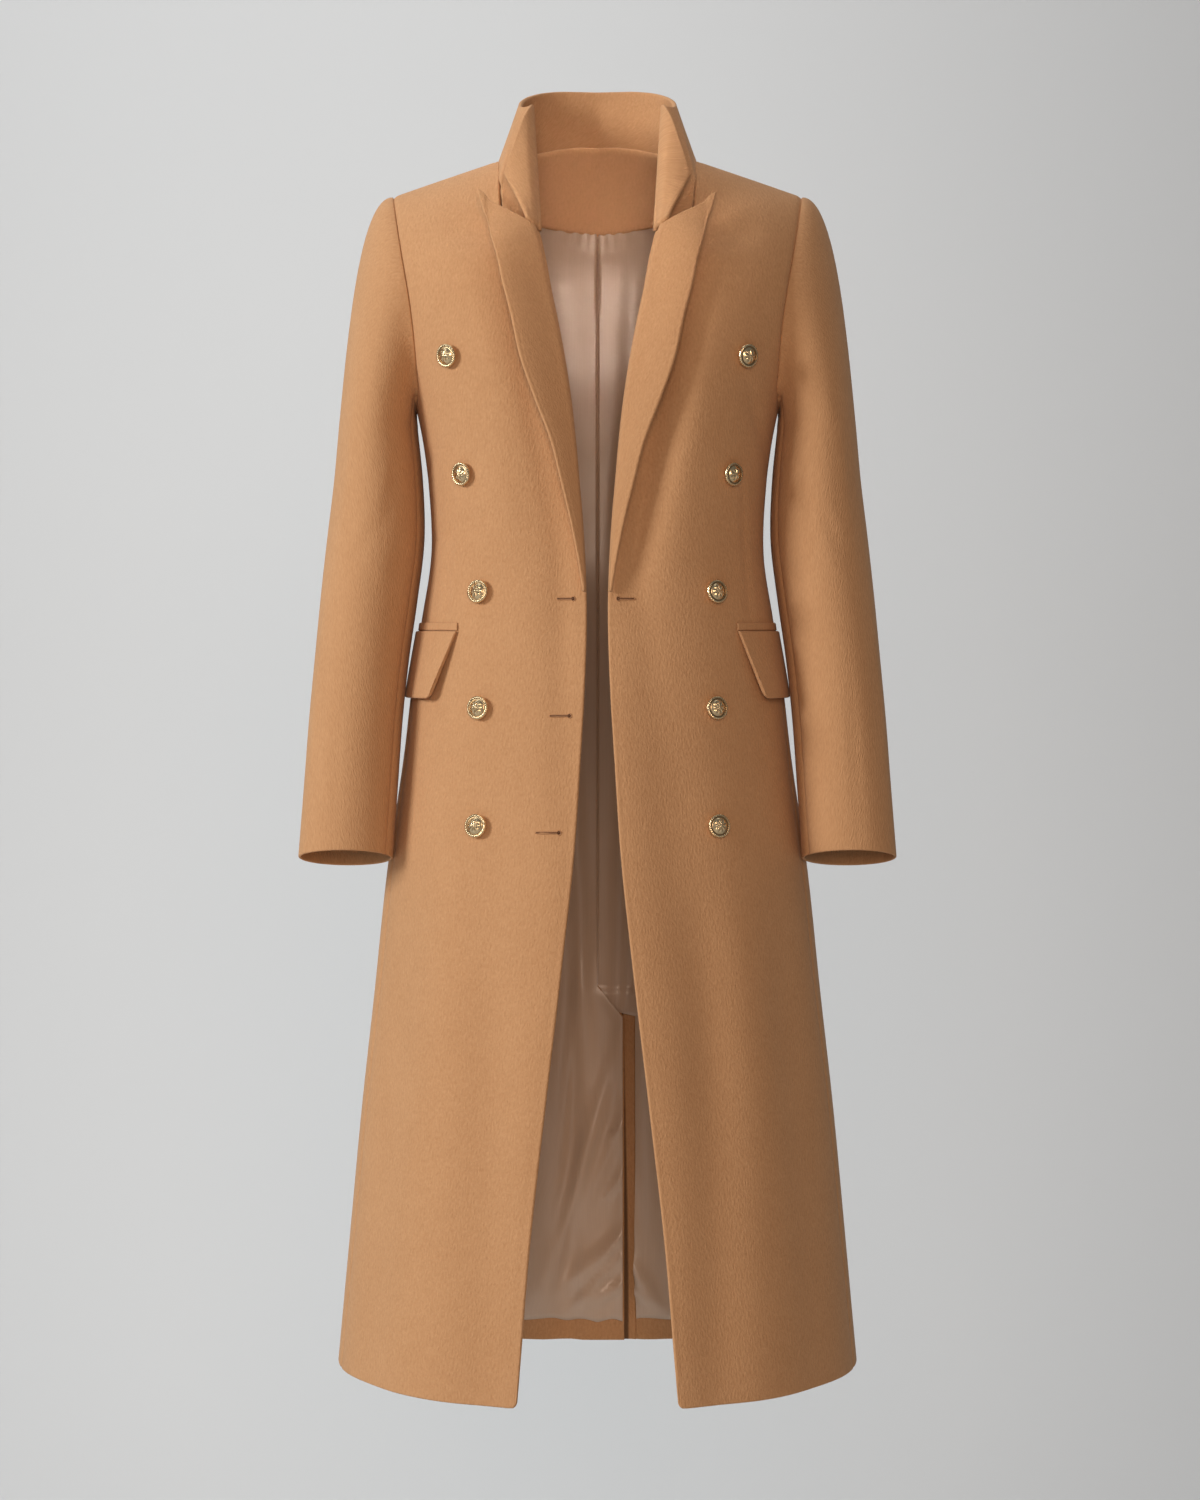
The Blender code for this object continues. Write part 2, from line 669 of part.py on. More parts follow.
def lapel_lift(across, down):
    """How far a lapel's underside stands off the chest: most at its free edge and its top."""
    return 2 * GAP + PEAK_LIFT * ease(1 - down / PEAK_SHARE) + EDGE_LIFT * across * (1 - down**4)


def lapel(name, side):
    across, down = np.meshgrid(np.linspace(0, 1, 6), LAPEL["share"])
    roll = np.stack([read(LAPEL, "roll_x", down), read(LAPEL, "roll_z", down)])
    edge = np.stack([read(LAPEL, "edge_x", down), read(LAPEL, "edge_z", down)])
    x, z = roll + (edge - roll) * across
    drop = drop_at(x, z)
    near = -(lapel_lift(across, down) + FACED)
    return add_layer(name, side, angle_of_x(x, drop, "front"), row_of(drop), near, FACED, CAMEL)


# Hip pockets

POCKET_TOP = 0.4310  # drop of the jetted welt's upper edge at the back end
POCKET_SLANT = 0.0050  # how much lower it is at its front end
WELT_HIGH = 0.0075
FLAP_HIGH = 0.0625
FLAP_FRONT_TOP = 0.1268  # x of the flap's front corners
FLAP_FRONT_LOW = 0.1500
POCKET_END = math.radians(101)  # angle of the pocket's back end, behind the side
WELT_THICK = 0.0015
FLAP_THICK = 0.0035


def pocket_piece(name, side, top, low, x_top, x_low, thick, lift, shares):
    """A strip on the coat's form from a front edge to the pocket's end, lifted by a rule."""
    across, down = np.meshgrid(np.linspace(0, 1, 8), shares)
    drop = top + (low - top) * down + POCKET_SLANT * (1 - across)
    start = angle_of_x(x_top + (x_low - x_top) * down, drop, "front")
    angle = start + (POCKET_END - start) * across
    near = -(lift(across, down) + thick)
    return add_layer(name, side, angle, row_of(drop), near, thick, CAMEL)


FLAP_LIFT = 0.0010  # how far the flap's lower edge stands off, and its front corner besides
CORNER_LIFT = 0.0040
CORNER_SHARE = 0.45


def flap_lift(across, down):
    """The flap hangs from the welt and stands a little off the coat at its front corner."""
    return 1.5 * GAP + down * (FLAP_LIFT + CORNER_LIFT * ease(1 - across / CORNER_SHARE))


def pocket(word, side):
    low = POCKET_TOP + WELT_HIGH
    pocket_piece(f"{word}_welt", side, POCKET_TOP, low, FLAP_FRONT_TOP, FLAP_FRONT_TOP,
                 WELT_THICK, lambda across, down: 1.5 * GAP + 0 * down, np.array([0.0, 1.0]))
    pocket_piece(f"{word}_flap", side, low + 2 * SEAM, low + FLAP_HIGH, FLAP_FRONT_TOP,
                 FLAP_FRONT_LOW, FLAP_THICK, flap_lift, np.linspace(0, 1, 4))


# Buttons

BUTTONS = rows(
    "x z",
    (0.1342, -0.1945),
    (0.1210, -0.3010),
    (0.1063, -0.4087),
    (0.1061, -0.5141),
    (0.1077, -0.6205),
)
# Half a section of a button: a short shank, a rolled rim and a low dome.
BUTTON_SECTION = rows(
    "radius height",
    (0.0032, 0.0003),
    (0.0032, 0.0026),
    (0.0100, 0.0028),
    (0.0108, 0.0046),
    (0.0094, 0.0062),
    (0.0070, 0.0070),
)
BUTTON_TOP = 0.0082
BUTTON_SIDES = 12


def button(name, side, x, z):
    form = lambda a, r: coat(a, r, side)
    drop = drop_at(x, z)
    place = np.array([angle_of_x(x, drop, "front"), row_of(drop)])
    centre = mirrored(form(*place), side)
    axis = mirrored(outward(form, *place), side)
    first = np.cross(axis, [0.0, 0.0, 1.0])
    first = first / np.linalg.norm(first)
    second = np.cross(axis, first)
    turn = np.linspace(0, 2 * math.pi, BUTTON_SIDES, endpoint=False)
    spoke = np.cos(turn)[:, None] * first + np.sin(turn)[:, None] * second
    radius, high = BUTTON_SECTION["radius"], BUTTON_SECTION["height"]
    rings = centre + radius[:, None, None] * spoke + high[:, None, None] * axis
    low, top = centre + axis * high[0], centre + axis * BUTTON_TOP
    points = np.concatenate([rings.reshape(-1, 3), [low, top]])
    foot, crown = len(points) - 2, len(points) - 1
    faces = []
    for k in range(BUTTON_SIDES):
        n = (k + 1) % BUTTON_SIDES
        faces.append((foot, k, n))
        for ring in range(len(radius) - 1):
            a = ring * BUTTON_SIDES
            b = a + BUTTON_SIDES
            faces.append((a + n, a + k, b + k, b + n))
        faces.append((crown, b + n, b + k))
    return add_mesh(name, points, [face[::-1] for face in faces], GOLD)


# Inside: back neck facing, back lining and the vent's facing

NECK_FACING_LOW = 0.053  # neck point down to the neck facing's lower edge at the centre
NECK_FACING_END = 0.105  # x of the facing's lower corners
NECK_FACING_RISE = 0.0205  # how much higher the lower edge is at those corners
LINING_HEM = 1.119
LINING_EASE = 0.0014  # the lining's fullness over the shoulder blades
LINING_EASE_DROPS = (0.155, 0.200)  # between these drops that fullness ends
LINING_TUCK = 0.004  # how far the lining's top runs under the neck facing
LINING_LAP = 0.0015  # how far it runs past the underlap's edge
FACING_COLUMNS = 3  # the panel's columns from the vent's edge that its facing spans
FACING_CLEAR = 0.03  # share of a column left between the facing and the lining
NECK_FACING_TOP = 0.0905  # x of the facing's upper corners
NECK_FACING_LAP = 0.0030  # how far its top stands up inside the collar's foot
NECK_FACING_LAP_END = 0.080  # x by which that rise has run out


def facing_low(x):
    """Drop of the neck facing's lower edge, which the lining meets."""
    share = np.minimum(np.abs(x) / NECK_FACING_END, 1)
    return drop_at(NECK_FACING_END * share, NECK_FACING_RISE * share**1.3 - NECK_FACING_LOW)


def neck_facing(name):
    across, down = np.meshgrid(np.linspace(-1, 1, 15), np.linspace(0, 1, 4))
    top_x = NECK_FACING_TOP * np.sin(across * math.pi / 2)
    top = drop_at(np.abs(top_x), np.interp(np.abs(top_x), BACK_NECK["x"], BACK_NECK["z"]))
    low_x = NECK_FACING_END * across
    x = top_x + (low_x - top_x) * down
    drop = top + (facing_low(low_x) - top) * down
    angle = angle_of_x(x, drop, "back")
    form = lambda a, r: coat(a, r, 1)
    normal = outward(form, angle, row_of(drop))
    outer = form(angle, row_of(drop)) - normal * (WOOL + SATIN + LINING_EASE + 4 * GAP)
    lap = NECK_FACING_LAP * (1 - down) ** 2 * ease(4 * (1 - np.abs(top_x) / NECK_FACING_LAP_END))
    outer[..., 2] += lap
    return add_wall(name, outer, outer - normal * WOOL, CAMEL)


def lining_top(share, side):
    """Drop of the lining's top edge in each column, found by repeated substitution."""
    drop = np.full(share.shape, NECK_FACING_LOW)
    for _ in range(12):
        start = centre_angle(drop, side)
        angle = across_panel(start, share, drop, "back")
        drop = facing_low(coat(angle, row_of(drop), side)[..., 0]) - LINING_TUCK
    return drop


def back_lining(name, side):
    share = np.linspace(0, 1, BACK_COLUMNS)
    low = np.array([*BACK_DROPS[:-1], LINING_HEM])
    top = lining_top(share, side)
    upper = top + (low[0] - top) * np.array([0.0, 0.25, 0.5, 0.75])[:, None]
    drop = np.concatenate([upper, np.repeat(low[:, None], len(share), axis=1)])
    angle = across_panel(centre_angle(drop, side), share, drop, "back")
    past = np.clip((drop[:, 0] - VENT_TOP) / VENT_SLANT, 0, 1)
    if side < 0:
        angle[:, 0] -= past * LINING_LAP / read(BODY, "back", drop[:, 0])
    else:
        first, second = angle[:, FACING_COLUMNS - 1].copy(), angle[:, FACING_COLUMNS]
        for column in range(FACING_COLUMNS):
            beside = first + (second - first) * (FACING_CLEAR + column / FACING_COLUMNS)
            angle[:, column] += (beside - angle[:, column]) * past
    above = (LINING_EASE_DROPS[1] - drop) / (LINING_EASE_DROPS[1] - LINING_EASE_DROPS[0])
    near = WOOL + 2 * GAP + LINING_EASE * ease(above)
    if side < 0:
        near = near + underlap_depth(angle, drop)
    return add_layer(name, side, angle, row_of(drop), near, SATIN, TAUPE)


def vent_facing(name):
    """The left back's own edge turned in: it spans the panel's first two columns."""
    low = np.array([d for d in BACK_DROPS if d > VENT_TOP])
    low[-1] -= GAP
    drop = np.repeat(low[:, None], FACING_COLUMNS, axis=1)
    drop[0] = VENT_TOP + VENT_SLANT * np.linspace(0.1, 1.0, FACING_COLUMNS)
    share = np.linspace(0, 1, BACK_COLUMNS)[:FACING_COLUMNS]
    angle = across_panel(centre_angle(drop, 1), share, drop, "back")
    return add_layer(name, 1, angle, row_of(drop), WOOL + GAP, FACING, CAMEL)


collar("collar")
neck_facing("back_neck_facing")
vent_facing("vent_facing")
for word, side in (("left", 1), ("right", -1)):
    front_panel(f"{word}_front", side)
    back_panel(f"{word}_back", side)
    back_lining(f"{word}_back_lining", side)
    sleeve_piece(f"{word}_top_sleeve", side, FRONT_SEAM, BACK_SEAM, 13)
    sleeve_piece(f"{word}_under_sleeve", side, BACK_SEAM, FRONT_SEAM + 2 * math.pi, 10)
    lapel(f"{word}_lapel", side)
    pocket(word, side)
    for number, (x, z) in enumerate(zip(BUTTONS["x"], BUTTONS["z"]), 1):
        button(f"{word}_button_{number}", side, x, z)
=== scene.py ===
"""Looks of the longline blazer coat: finished cloth, seams, buttons and light round its CAD frame.

Metres, +Z up. The coat faces -Y, +X is the wearer's left, and the origin is the base of the neck.
"""
import math

import bpy
import numpy as np
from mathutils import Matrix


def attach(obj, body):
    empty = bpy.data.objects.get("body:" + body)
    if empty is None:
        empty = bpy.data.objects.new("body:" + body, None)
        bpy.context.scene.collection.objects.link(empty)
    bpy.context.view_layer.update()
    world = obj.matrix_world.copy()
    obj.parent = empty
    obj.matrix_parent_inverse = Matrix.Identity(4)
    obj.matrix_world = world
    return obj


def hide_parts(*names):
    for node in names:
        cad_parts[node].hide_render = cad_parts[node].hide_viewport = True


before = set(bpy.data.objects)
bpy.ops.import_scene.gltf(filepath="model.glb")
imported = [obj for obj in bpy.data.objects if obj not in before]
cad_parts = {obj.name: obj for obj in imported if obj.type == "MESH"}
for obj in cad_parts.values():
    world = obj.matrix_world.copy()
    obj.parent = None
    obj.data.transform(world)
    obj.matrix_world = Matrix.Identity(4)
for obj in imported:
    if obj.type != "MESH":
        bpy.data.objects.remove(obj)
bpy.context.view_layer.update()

# Stage: the camera stands level in front of the coat, at the height of its thighs. A pale floor
# curves up into a pale wall. Soft light comes mostly from the camera's left, with a warm fill.
VIEW_DISTANCE = 2.6
VIEW_X = 0.00235
VIEW_Z = -0.552
FOCAL_PIXELS = 2766  # focal length in pixels of the photograph's frame
FRAME_PIXELS = 1500
SENSOR = 24.0

camera = bpy.data.cameras.new("studio_camera")
camera.sensor_fit = "VERTICAL"
camera.sensor_height = SENSOR
camera.lens = SENSOR * FOCAL_PIXELS / FRAME_PIXELS
viewpoint = bpy.data.objects.new("studio_camera", camera)
viewpoint.location = (VIEW_X, -VIEW_DISTANCE, VIEW_Z)
viewpoint.rotation_euler = (math.radians(90), 0, 0)
bpy.context.scene.collection.objects.link(viewpoint)
bpy.context.scene.camera = viewpoint

FLOOR_Z = -1.75
WALL_Y = 2.6
STAGE_RADIUS = 1.4
STAGE_HALF = 7.0
STAGE_FRONT = -6.0
STAGE_TOP = 5.0
SWEEP_STEPS = 25
STAGE_GREY = (0.60, 0.605, 0.60)
STAGE_ROUGH = 0.9


def put(tree, node, values):
    """Gives a node's inputs their values, by name or number, or links them from a socket."""
    for name, value in values.items():
        if isinstance(value, bpy.types.NodeSocket):
            tree.links.new(value, node.inputs[name])
        else:
            node.inputs[name].default_value = value
    return node


def new_material(name, values):
    """A material with the given inputs of its Principled shader."""
    made = bpy.data.materials.new(name)
    made.use_nodes = True
    put(made.node_tree, made.node_tree.nodes["Principled BSDF"], values)
    return made


def plain_material(name, colour, roughness):
    return new_material(name, {"Base Color": (*colour, 1), "Roughness": roughness})


def new_object(name, points, faces, *materials):
    """A smooth mesh of points and faces, in the scene."""
    mesh = bpy.data.meshes.new(name)
    mesh.from_pydata(points, [], faces)
    for material in materials:
        mesh.materials.append(material)
    mesh.shade_smooth()
    made = bpy.data.objects.new(name, mesh)
    bpy.context.scene.collection.objects.link(made)
    return made


def stage_sweep():
    """Floor and wall as one sheet: a line, a quarter circle and a line, drawn out along X."""
    turn = np.linspace(0, math.pi / 2, SWEEP_STEPS)
    y = np.concatenate([[STAGE_FRONT], WALL_Y - STAGE_RADIUS + STAGE_RADIUS * np.sin(turn), [WALL_Y]])
    z = np.concatenate([[0], STAGE_RADIUS * (1 - np.cos(turn)), [STAGE_TOP - FLOOR_Z]]) + FLOOR_Z
    points = [(x, b, c) for b, c in zip(y, z) for x in (-STAGE_HALF, STAGE_HALF)]
    faces = [(2 * k, 2 * k + 1, 2 * k + 3, 2 * k + 2) for k in range(len(y) - 1)]
    grey = plain_material("pale_studio", STAGE_GREY, STAGE_ROUGH)
    new_object("studio_sweep", points, faces, grey)


stage_sweep()

LIGHTS = {  # place, aimed at, size, spread in degrees, watts, colour
    "key_light": ((-3.3, -1.9, 0.6), (0.0, 0.0, -0.5), 1.1, 180, 103.0, (0.97, 1.0, 1.03)),
    "fill_light": ((0.1, -3.4, 0.1), (0.0, 0.0, -0.3), 1.0, 180, 35.0, (1.0, 0.74, 0.57)),
    "neck_light": ((0.0, -2.2, 0.3), (0.0, 0.05, -0.05), 0.2, 7, 0.030, (1.0, 0.90, 0.80)),
    "back_light": ((-0.3, 0.5, -0.4), (-0.3, 2.6, -0.4), 1.4, 180, 14.0, (1.0, 1.0, 1.0)),
    "wall_light": ((-0.5, 0.7, 2.0), (-0.3, 2.6, -1.0), 2.5, 180, 33.0, (0.98, 1.0, 1.02)),
}
for name, (place, aim, size, spread, watts, colour) in LIGHTS.items():
    lamp = bpy.data.lights.new(name, "AREA")
    lamp.size = size
    lamp.spread = math.radians(spread)
    lamp.energy = watts
    lamp.color = colour
    holder = bpy.data.objects.new(name, lamp)
    holder.location = place
    away = np.subtract(place, aim)
    across = math.hypot(away[0], away[1])
    holder.rotation_euler = (math.atan2(across, away[2]), 0, math.atan2(away[0], -away[1]))
    bpy.context.scene.collection.objects.link(holder)

AIR_COLOUR = (0.80, 0.82, 0.85, 1)
AIR_STRENGTH = 0.20
world = bpy.data.worlds.new("studio_air")
world.use_nodes = True
air = world.node_tree.nodes["Background"]
put(world.node_tree, air, {"Color": AIR_COLOUR, "Strength": AIR_STRENGTH})
bpy.context.scene.world = world

bpy.context.scene.view_settings.view_transform = "Standard"

# Back panels: two lengths of camel wool, joined down the centre to the top of the vent, where the
# left one laps over the right. The form below is that of the whole coat, as it hangs on shoulders.
LENGTH = 1.137  # neck point to hem
NECK_HALF = 0.0925  # centre to the neck point of the shoulder seam
TIP_HALF = 0.192  # centre to the shoulder tip
SHOULDER_FALL = 0.033
NECK_ARCH = 0.022
NECK_RUN = 0.060
CAP_DROP = 0.130  # height over which the shoulder rounds into the chest
LEVEL_DROP = 0.350  # from here down the rows of the cloth run level
HEM_RISE = 0.006
WOOL = 0.0025
SATIN = 0.0010
FACING = 0.0012
GAP = 0.0003  # room between pieces that lie on each other
SEAM = 0.0002
FRONT_SQUARENESS = 2.25
BACK_SQUARENESS = 2.45


def rows(names, *values):
    """A table: its columns' names, and one row for each section, point or fold."""
    return dict(zip(names.split(), np.array(values, float).T))


BODY = rows(
    "drop half_width side_y front back",
    (0.000, 0.216, 0.000, 0.104, 0.092),
    (0.050, 0.212, 0.000, 0.114, 0.102),
    (0.100, 0.203, 0.000, 0.123, 0.111),
    (0.150, 0.190, 0.001, 0.130, 0.116),
    (0.200, 0.1760, 0.003, 0.134, 0.115),
    (0.240, 0.1672, 0.004, 0.133, 0.109),
    (0.300, 0.1590, 0.005, 0.128, 0.100),
    (0.373, 0.1568, 0.007, 0.123, 0.093),
    (0.430, 0.1655, 0.011, 0.128, 0.096),
    (0.500, 0.1760, 0.017, 0.138, 0.101),
    (0.550, 0.1820, 0.022, 0.145, 0.104),
    (0.665, 0.1990, 0.031, 0.159, 0.105),
    (0.780, 0.2115, 0.038, 0.172, 0.104),
    (0.890, 0.2240, 0.044, 0.185, 0.102),
    (1.000, 0.2345, 0.048, 0.195, 0.101),
    (1.137, 0.2470, 0.051, 0.206, 0.099),
)
FRONT_EDGE = rows(
    "x z",
    (0.0925, 0.000),
    (0.0912, -0.024),
    (0.0903, -0.046),
    (0.0872, -0.065),
    (0.0545, -0.080),
    (0.0485, -0.100),
    (0.0415, -0.137),
    (0.0356, -0.165),
    (0.0287, -0.202),
    (0.0233, -0.238),
    (0.0193, -0.274),
    (0.0161, -0.310),
    (0.0130, -0.346),
    (0.0108, -0.382),
    (0.0096, -0.420),
    (0.0117, -0.502),
    (0.0152, -0.560),
    (0.0212, -0.650),
    (0.0308, -0.740),
    (0.0463, -0.872),
    (0.0608, -0.999),
    (0.0691, -1.097),
    (0.0725, -1.137),
)
BACK_NECK = rows(
    "x z",
    (0.0000, 0.0240),
    (0.0200, 0.0235),
    (0.0400, 0.0205),
    (0.0600, 0.0150),
    (0.0780, 0.0080),
    (0.0925, 0.0000),
)
# How far the front edges stand open, forwards, by height.
GAPE = rows(
    "z depth",
    (0.000, 0.000),
    (-0.050, 0.010),
    (-0.100, 0.018),
    (-0.200, 0.019),
    (-0.300, 0.013),
    (-0.380, 0.004),
    (-0.430, 0.000),
    (-1.137, 0.000),
)
GAPE_WIDTH = 0.070
FRONT_ARMHOLE = rows(
    "x z",
    (0.1920, -0.033),
    (0.1862, -0.066),
    (0.1800, -0.100),
    (0.1725, -0.144),
    (0.1688, -0.180),
    (0.1678, -0.205),
)
BACK_ARMHOLE = rows(
    "x z",
    (0.1920, -0.033),
    (0.1890, -0.066),
    (0.1850, -0.100),
    (0.1780, -0.144),
    (0.1725, -0.180),
    (0.1695, -0.205),
)
UNDERARM_DROP = 0.226
PASSING = (0.12, 0.32)  # drops between which the inner columns pass from armhole to side seam
PASSING_HELD = 0.20
PASSING_POWER = 8  # how fast the outer columns part from that line
SIDE_SEAM = rows(
    "drop y",
    (0.226, 0.0035),
    (0.300, 0.000),
    (0.373, -0.006),
    (0.500, -0.013),
    (0.665, -0.020),
    (0.890, -0.016),
    (1.137, -0.006),
)
# Large folds, along a line from one angle round the plan to another, in degrees.
FOLDS = rows(
    "side top_angle low_angle top_drop low_drop width depth",
    (1, 33, 14, 0.13, 0.44, 7.5, -0.0050),
    (-1, 40, 24, 0.15, 0.42, 8.0, -0.0022),
    (1, 33, 30, 0.62, 1.30, 7.0, -0.0050),
    (-1, 30, 27, 0.66, 1.30, 7.5, -0.0042),
    (1, 58, 57, 0.60, 1.30, 8.0, -0.0040),
    (-1, 61, 60, 0.55, 1.30, 8.5, -0.0040),
    (1, 128, 122, 0.50, 1.30, 8.0, -0.0065),
    (-1, 124, 119, 0.52, 1.30, 8.5, -0.0060),
    (1, 156, 150, 0.62, 1.30, 7.0, -0.0050),
    (-1, 152, 149, 0.58, 1.30, 7.5, -0.0055),
    (1, 137, 150, 0.16, 0.36, 7.0, -0.0040),
    (-1, 135, 149, 0.17, 0.38, 7.0, -0.0040),
)
# Small soft creases: the middle of each as an angle and a drop, its slant from upright, its
# half-length and half-width in metres, and its depth, which is positive for a ridge.
CREASES = rows(
    "side angle drop slant length width depth",
    (1, 26, 0.235, -13, 0.130, 0.016, -0.0068),
    (-1, 26, 0.250, -12, 0.120, 0.012, -0.0022),
    (-1, 13, 0.480, -4, 0.200, 0.017, -0.0026),
    (1, 21, 0.520, 5, 0.220, 0.019, -0.0028),
    (-1, 27, 0.640, -3, 0.240, 0.022, 0.0022),
    (1, 62, 0.235, 38, 0.050, 0.010, -0.0014),
    (1, 70, 0.262, 52, 0.042, 0.008, -0.0011),
    (-1, 60, 0.242, 44, 0.046, 0.010, -0.0012),
    (-1, 71, 0.275, 60, 0.036, 0.008, -0.0009),
    (1, 48, 0.120, -32, 0.055, 0.014, -0.0013),
    (-1, 47, 0.105, -28, 0.050, 0.013, -0.0012),
    (1, 66, 0.360, 80, 0.045, 0.009, -0.0010),
    (-1, 64, 0.352, 82, 0.050, 0.009, -0.0010),
    (1, 44, 0.385, 84, 0.050, 0.010, -0.0006),
    (-1, 38, 0.395, 86, 0.055, 0.011, -0.0006),
    (1, 22, 0.560, 6, 0.120, 0.016, 0.0012),
    (-1, 19, 0.600, -5, 0.140, 0.018, 0.0014),
    (1, 45, 0.780, 3, 0.180, 0.022, 0.0016),
    (-1, 44, 0.820, -3, 0.170, 0.020, 0.0014),
    (1, 74, 0.870, 2, 0.160, 0.018, 0.0014),
    (-1, 76, 0.800, -2, 0.180, 0.018, 0.0013),
    (1, 112, 0.240, -40, 0.050, 0.010, -0.0014),
    (-1, 114, 0.250, -44, 0.046, 0.010, -0.0013),
    (1, 120, 0.292, -58, 0.052, 0.010, -0.0014),
    (-1, 122, 0.300, -54, 0.048, 0.010, -0.0013),
    (1, 150, 0.365, -82, 0.060, 0.011, -0.0014),
    (-1, 148, 0.372, -84, 0.056, 0.011, -0.0013),
    (1, 138, 0.398, -80, 0.050, 0.010, -0.0010),
    (-1, 136, 0.405, -82, 0.052, 0.010, -0.0010),
    (1, 165, 0.150, 12, 0.070, 0.016, -0.0014),
    (-1, 163, 0.160, 10, 0.075, 0.016, -0.0013),
    (1, 140, 0.760, 4, 0.170, 0.020, 0.0018),
    (-1, 138, 0.800, -4, 0.180, 0.021, 0.0017),
    (1, 168, 0.900, 2, 0.160, 0.018, 0.0014),
    (-1, 167, 0.860, -2, 0.150, 0.018, 0.0014),
)
CREASE_RADIUS = 0.17  # metres of cloth per radian, for the creases' own map


def read(table, column, at):
    """A smooth curve through a table's rows: a cubic between rows, with slopes from both sides."""
    known = next(iter(table.values()))
    values = table[column]
    slopes = np.gradient(values, known)
    at = np.clip(np.asarray(at, float), known[0], known[-1])
    k = np.clip(np.searchsorted(known, at) - 1, 0, len(known) - 2)
    step = known[k + 1] - known[k]
    t = (at - known[k]) / step
    start = values[k] * (1 + 2 * t) * (1 - t) ** 2 + slopes[k] * step * t * (1 - t) ** 2
    end = values[k + 1] * t**2 * (3 - 2 * t) + slopes[k + 1] * step * t**2 * (t - 1)
    return start + end


def bell(value):
    """1 at 0, falling evenly on both sides to almost nothing past 2."""
    return np.exp(-(value**2))


def ease(t):
    """0 to 1 with a level start and end."""
    t = np.clip(t, 0.0, 1.0)
    return t * t * (3 - 2 * t)


def shoulder_height(x):
    """Height of the shoulder's ridge: a straight fall outwards, with a parabola's rise inwards."""
    x = np.abs(x)
    slope = SHOULDER_FALL / (TIP_HALF - NECK_HALF)
    inside = np.clip((NECK_HALF - x) / NECK_RUN, 0, 1)
    return slope * (NECK_HALF - x) + NECK_ARCH * (1 - (1 - inside) ** 2)


def height(x, drop):
    """Z at a drop below the shoulder line: the line's own shape fades out on the way down."""
    z = shoulder_height(x) * (1 - ease(drop / LEVEL_DROP)) - drop
    side = np.abs(x) / BODY["half_width"][-1]
    return z + HEM_RISE * side**2 * (drop / LENGTH) ** 6


def drop_at(x, z):
    """The drop that has this height at this x, by repeated substitution."""
    drop = -np.asarray(z, float)
    for _ in range(30):
        drop = drop + (height(x, drop) - z)
    return drop


def drop_of(row):
    """Rows 0 to 1 go round the shoulder in equal angles, and then straight down."""
    quarter = math.pi / 2
    cap = CAP_DROP * (1 - np.cos(np.minimum(row, 1) * quarter))
    return cap + np.maximum(row - 1, 0) * CAP_DROP * quarter


def row_of(drop):
    """The reverse of drop_of."""
    quarter = math.pi / 2
    cap = np.arccos(1 - np.minimum(drop, CAP_DROP) / CAP_DROP) / quarter
    return cap + np.maximum(drop - CAP_DROP, 0) / (CAP_DROP * quarter)


def folds(angle, drop, side):
    """Sum of the folds: each a bell across its line, eased in and out along it."""
    total = np.zeros(np.broadcast(angle, drop).shape)
    for i in np.flatnonzero(FOLDS["side"] == side):
        fold = {name: column[i] for name, column in FOLDS.items()}
        along = (drop - fold["top_drop"]) / (fold["low_drop"] - fold["top_drop"])
        line = fold["top_angle"] + (fold["low_angle"] - fold["top_angle"]) * np.clip(along, 0, 1)
        across = (np.degrees(angle) - line) / fold["width"]
        swell = ease(along * 3) * ease((1 - along) * 3)
        total = total + fold["depth"] * swell * bell(across)
    return total


def creased(table, side, u, v):
    """Sum of small creases on a flat map: each a bell along and across its own turned axes."""
    total = np.zeros(np.broadcast(u, v).shape)
    for i in np.flatnonzero(table["side"] == side):
        one = {name: column[i] for name, column in table.items()}
        slant = math.radians(one["slant"])
        du = u - math.radians(one["angle"]) * CREASE_RADIUS
        dv = v - one["drop"]
        along = (du * math.sin(slant) + dv * math.cos(slant)) / one["length"]
        across = (du * math.cos(slant) - dv * math.sin(slant)) / one["width"]
        total = total + one["depth"] * np.exp(-(along**2) - across**2)
    return total


def edge_by_drop(table):
    """An edge's table turned from heights to drops."""
    return {"drop": drop_at(table["x"], table["z"]), "x": table["x"]}


EDGE_BY_DROP = edge_by_drop(FRONT_EDGE)


def coat(angle, row, side):
    """A point of the coat's outer form, for the wearer's left half.

    The plan is a superellipse, with its angle from 0 at the centre front to pi at the centre
    back, flattened towards the shoulder's ridge by the sine of the row's own angle.
    """
    angle = np.asarray(angle, float)
    drop = drop_of(row)
    ahead = np.cos(angle) > 0
    reach = np.where(ahead, read(BODY, "front", drop), read(BODY, "back", drop))
    power = np.where(ahead, FRONT_SQUARENESS, BACK_SQUARENESS)
    width = read(BODY, "half_width", drop)
    across = np.abs(np.sin(angle) / width) ** power
    radius = (across + np.abs(np.cos(angle) / reach) ** power) ** (-1 / power)
    radius = radius + folds(angle, drop, side)
    radius = radius + creased(CREASES, side, angle * CREASE_RADIUS, drop)
    rounding = np.sin(np.minimum(row, 1) * math.pi / 2)
    x = radius * np.sin(angle)
    y = rounding * (read(BODY, "side_y", drop) - radius * np.cos(angle))
    z = height(x, drop)
    beside = 1 - ease((x - read(EDGE_BY_DROP, "x", drop)) / GAPE_WIDTH)
    gape = read({"drop": -GAPE["z"], "depth": GAPE["depth"]}, "depth", drop) * beside
    return np.stack([x, y + np.where(ahead, gape, 0), z], axis=-1)


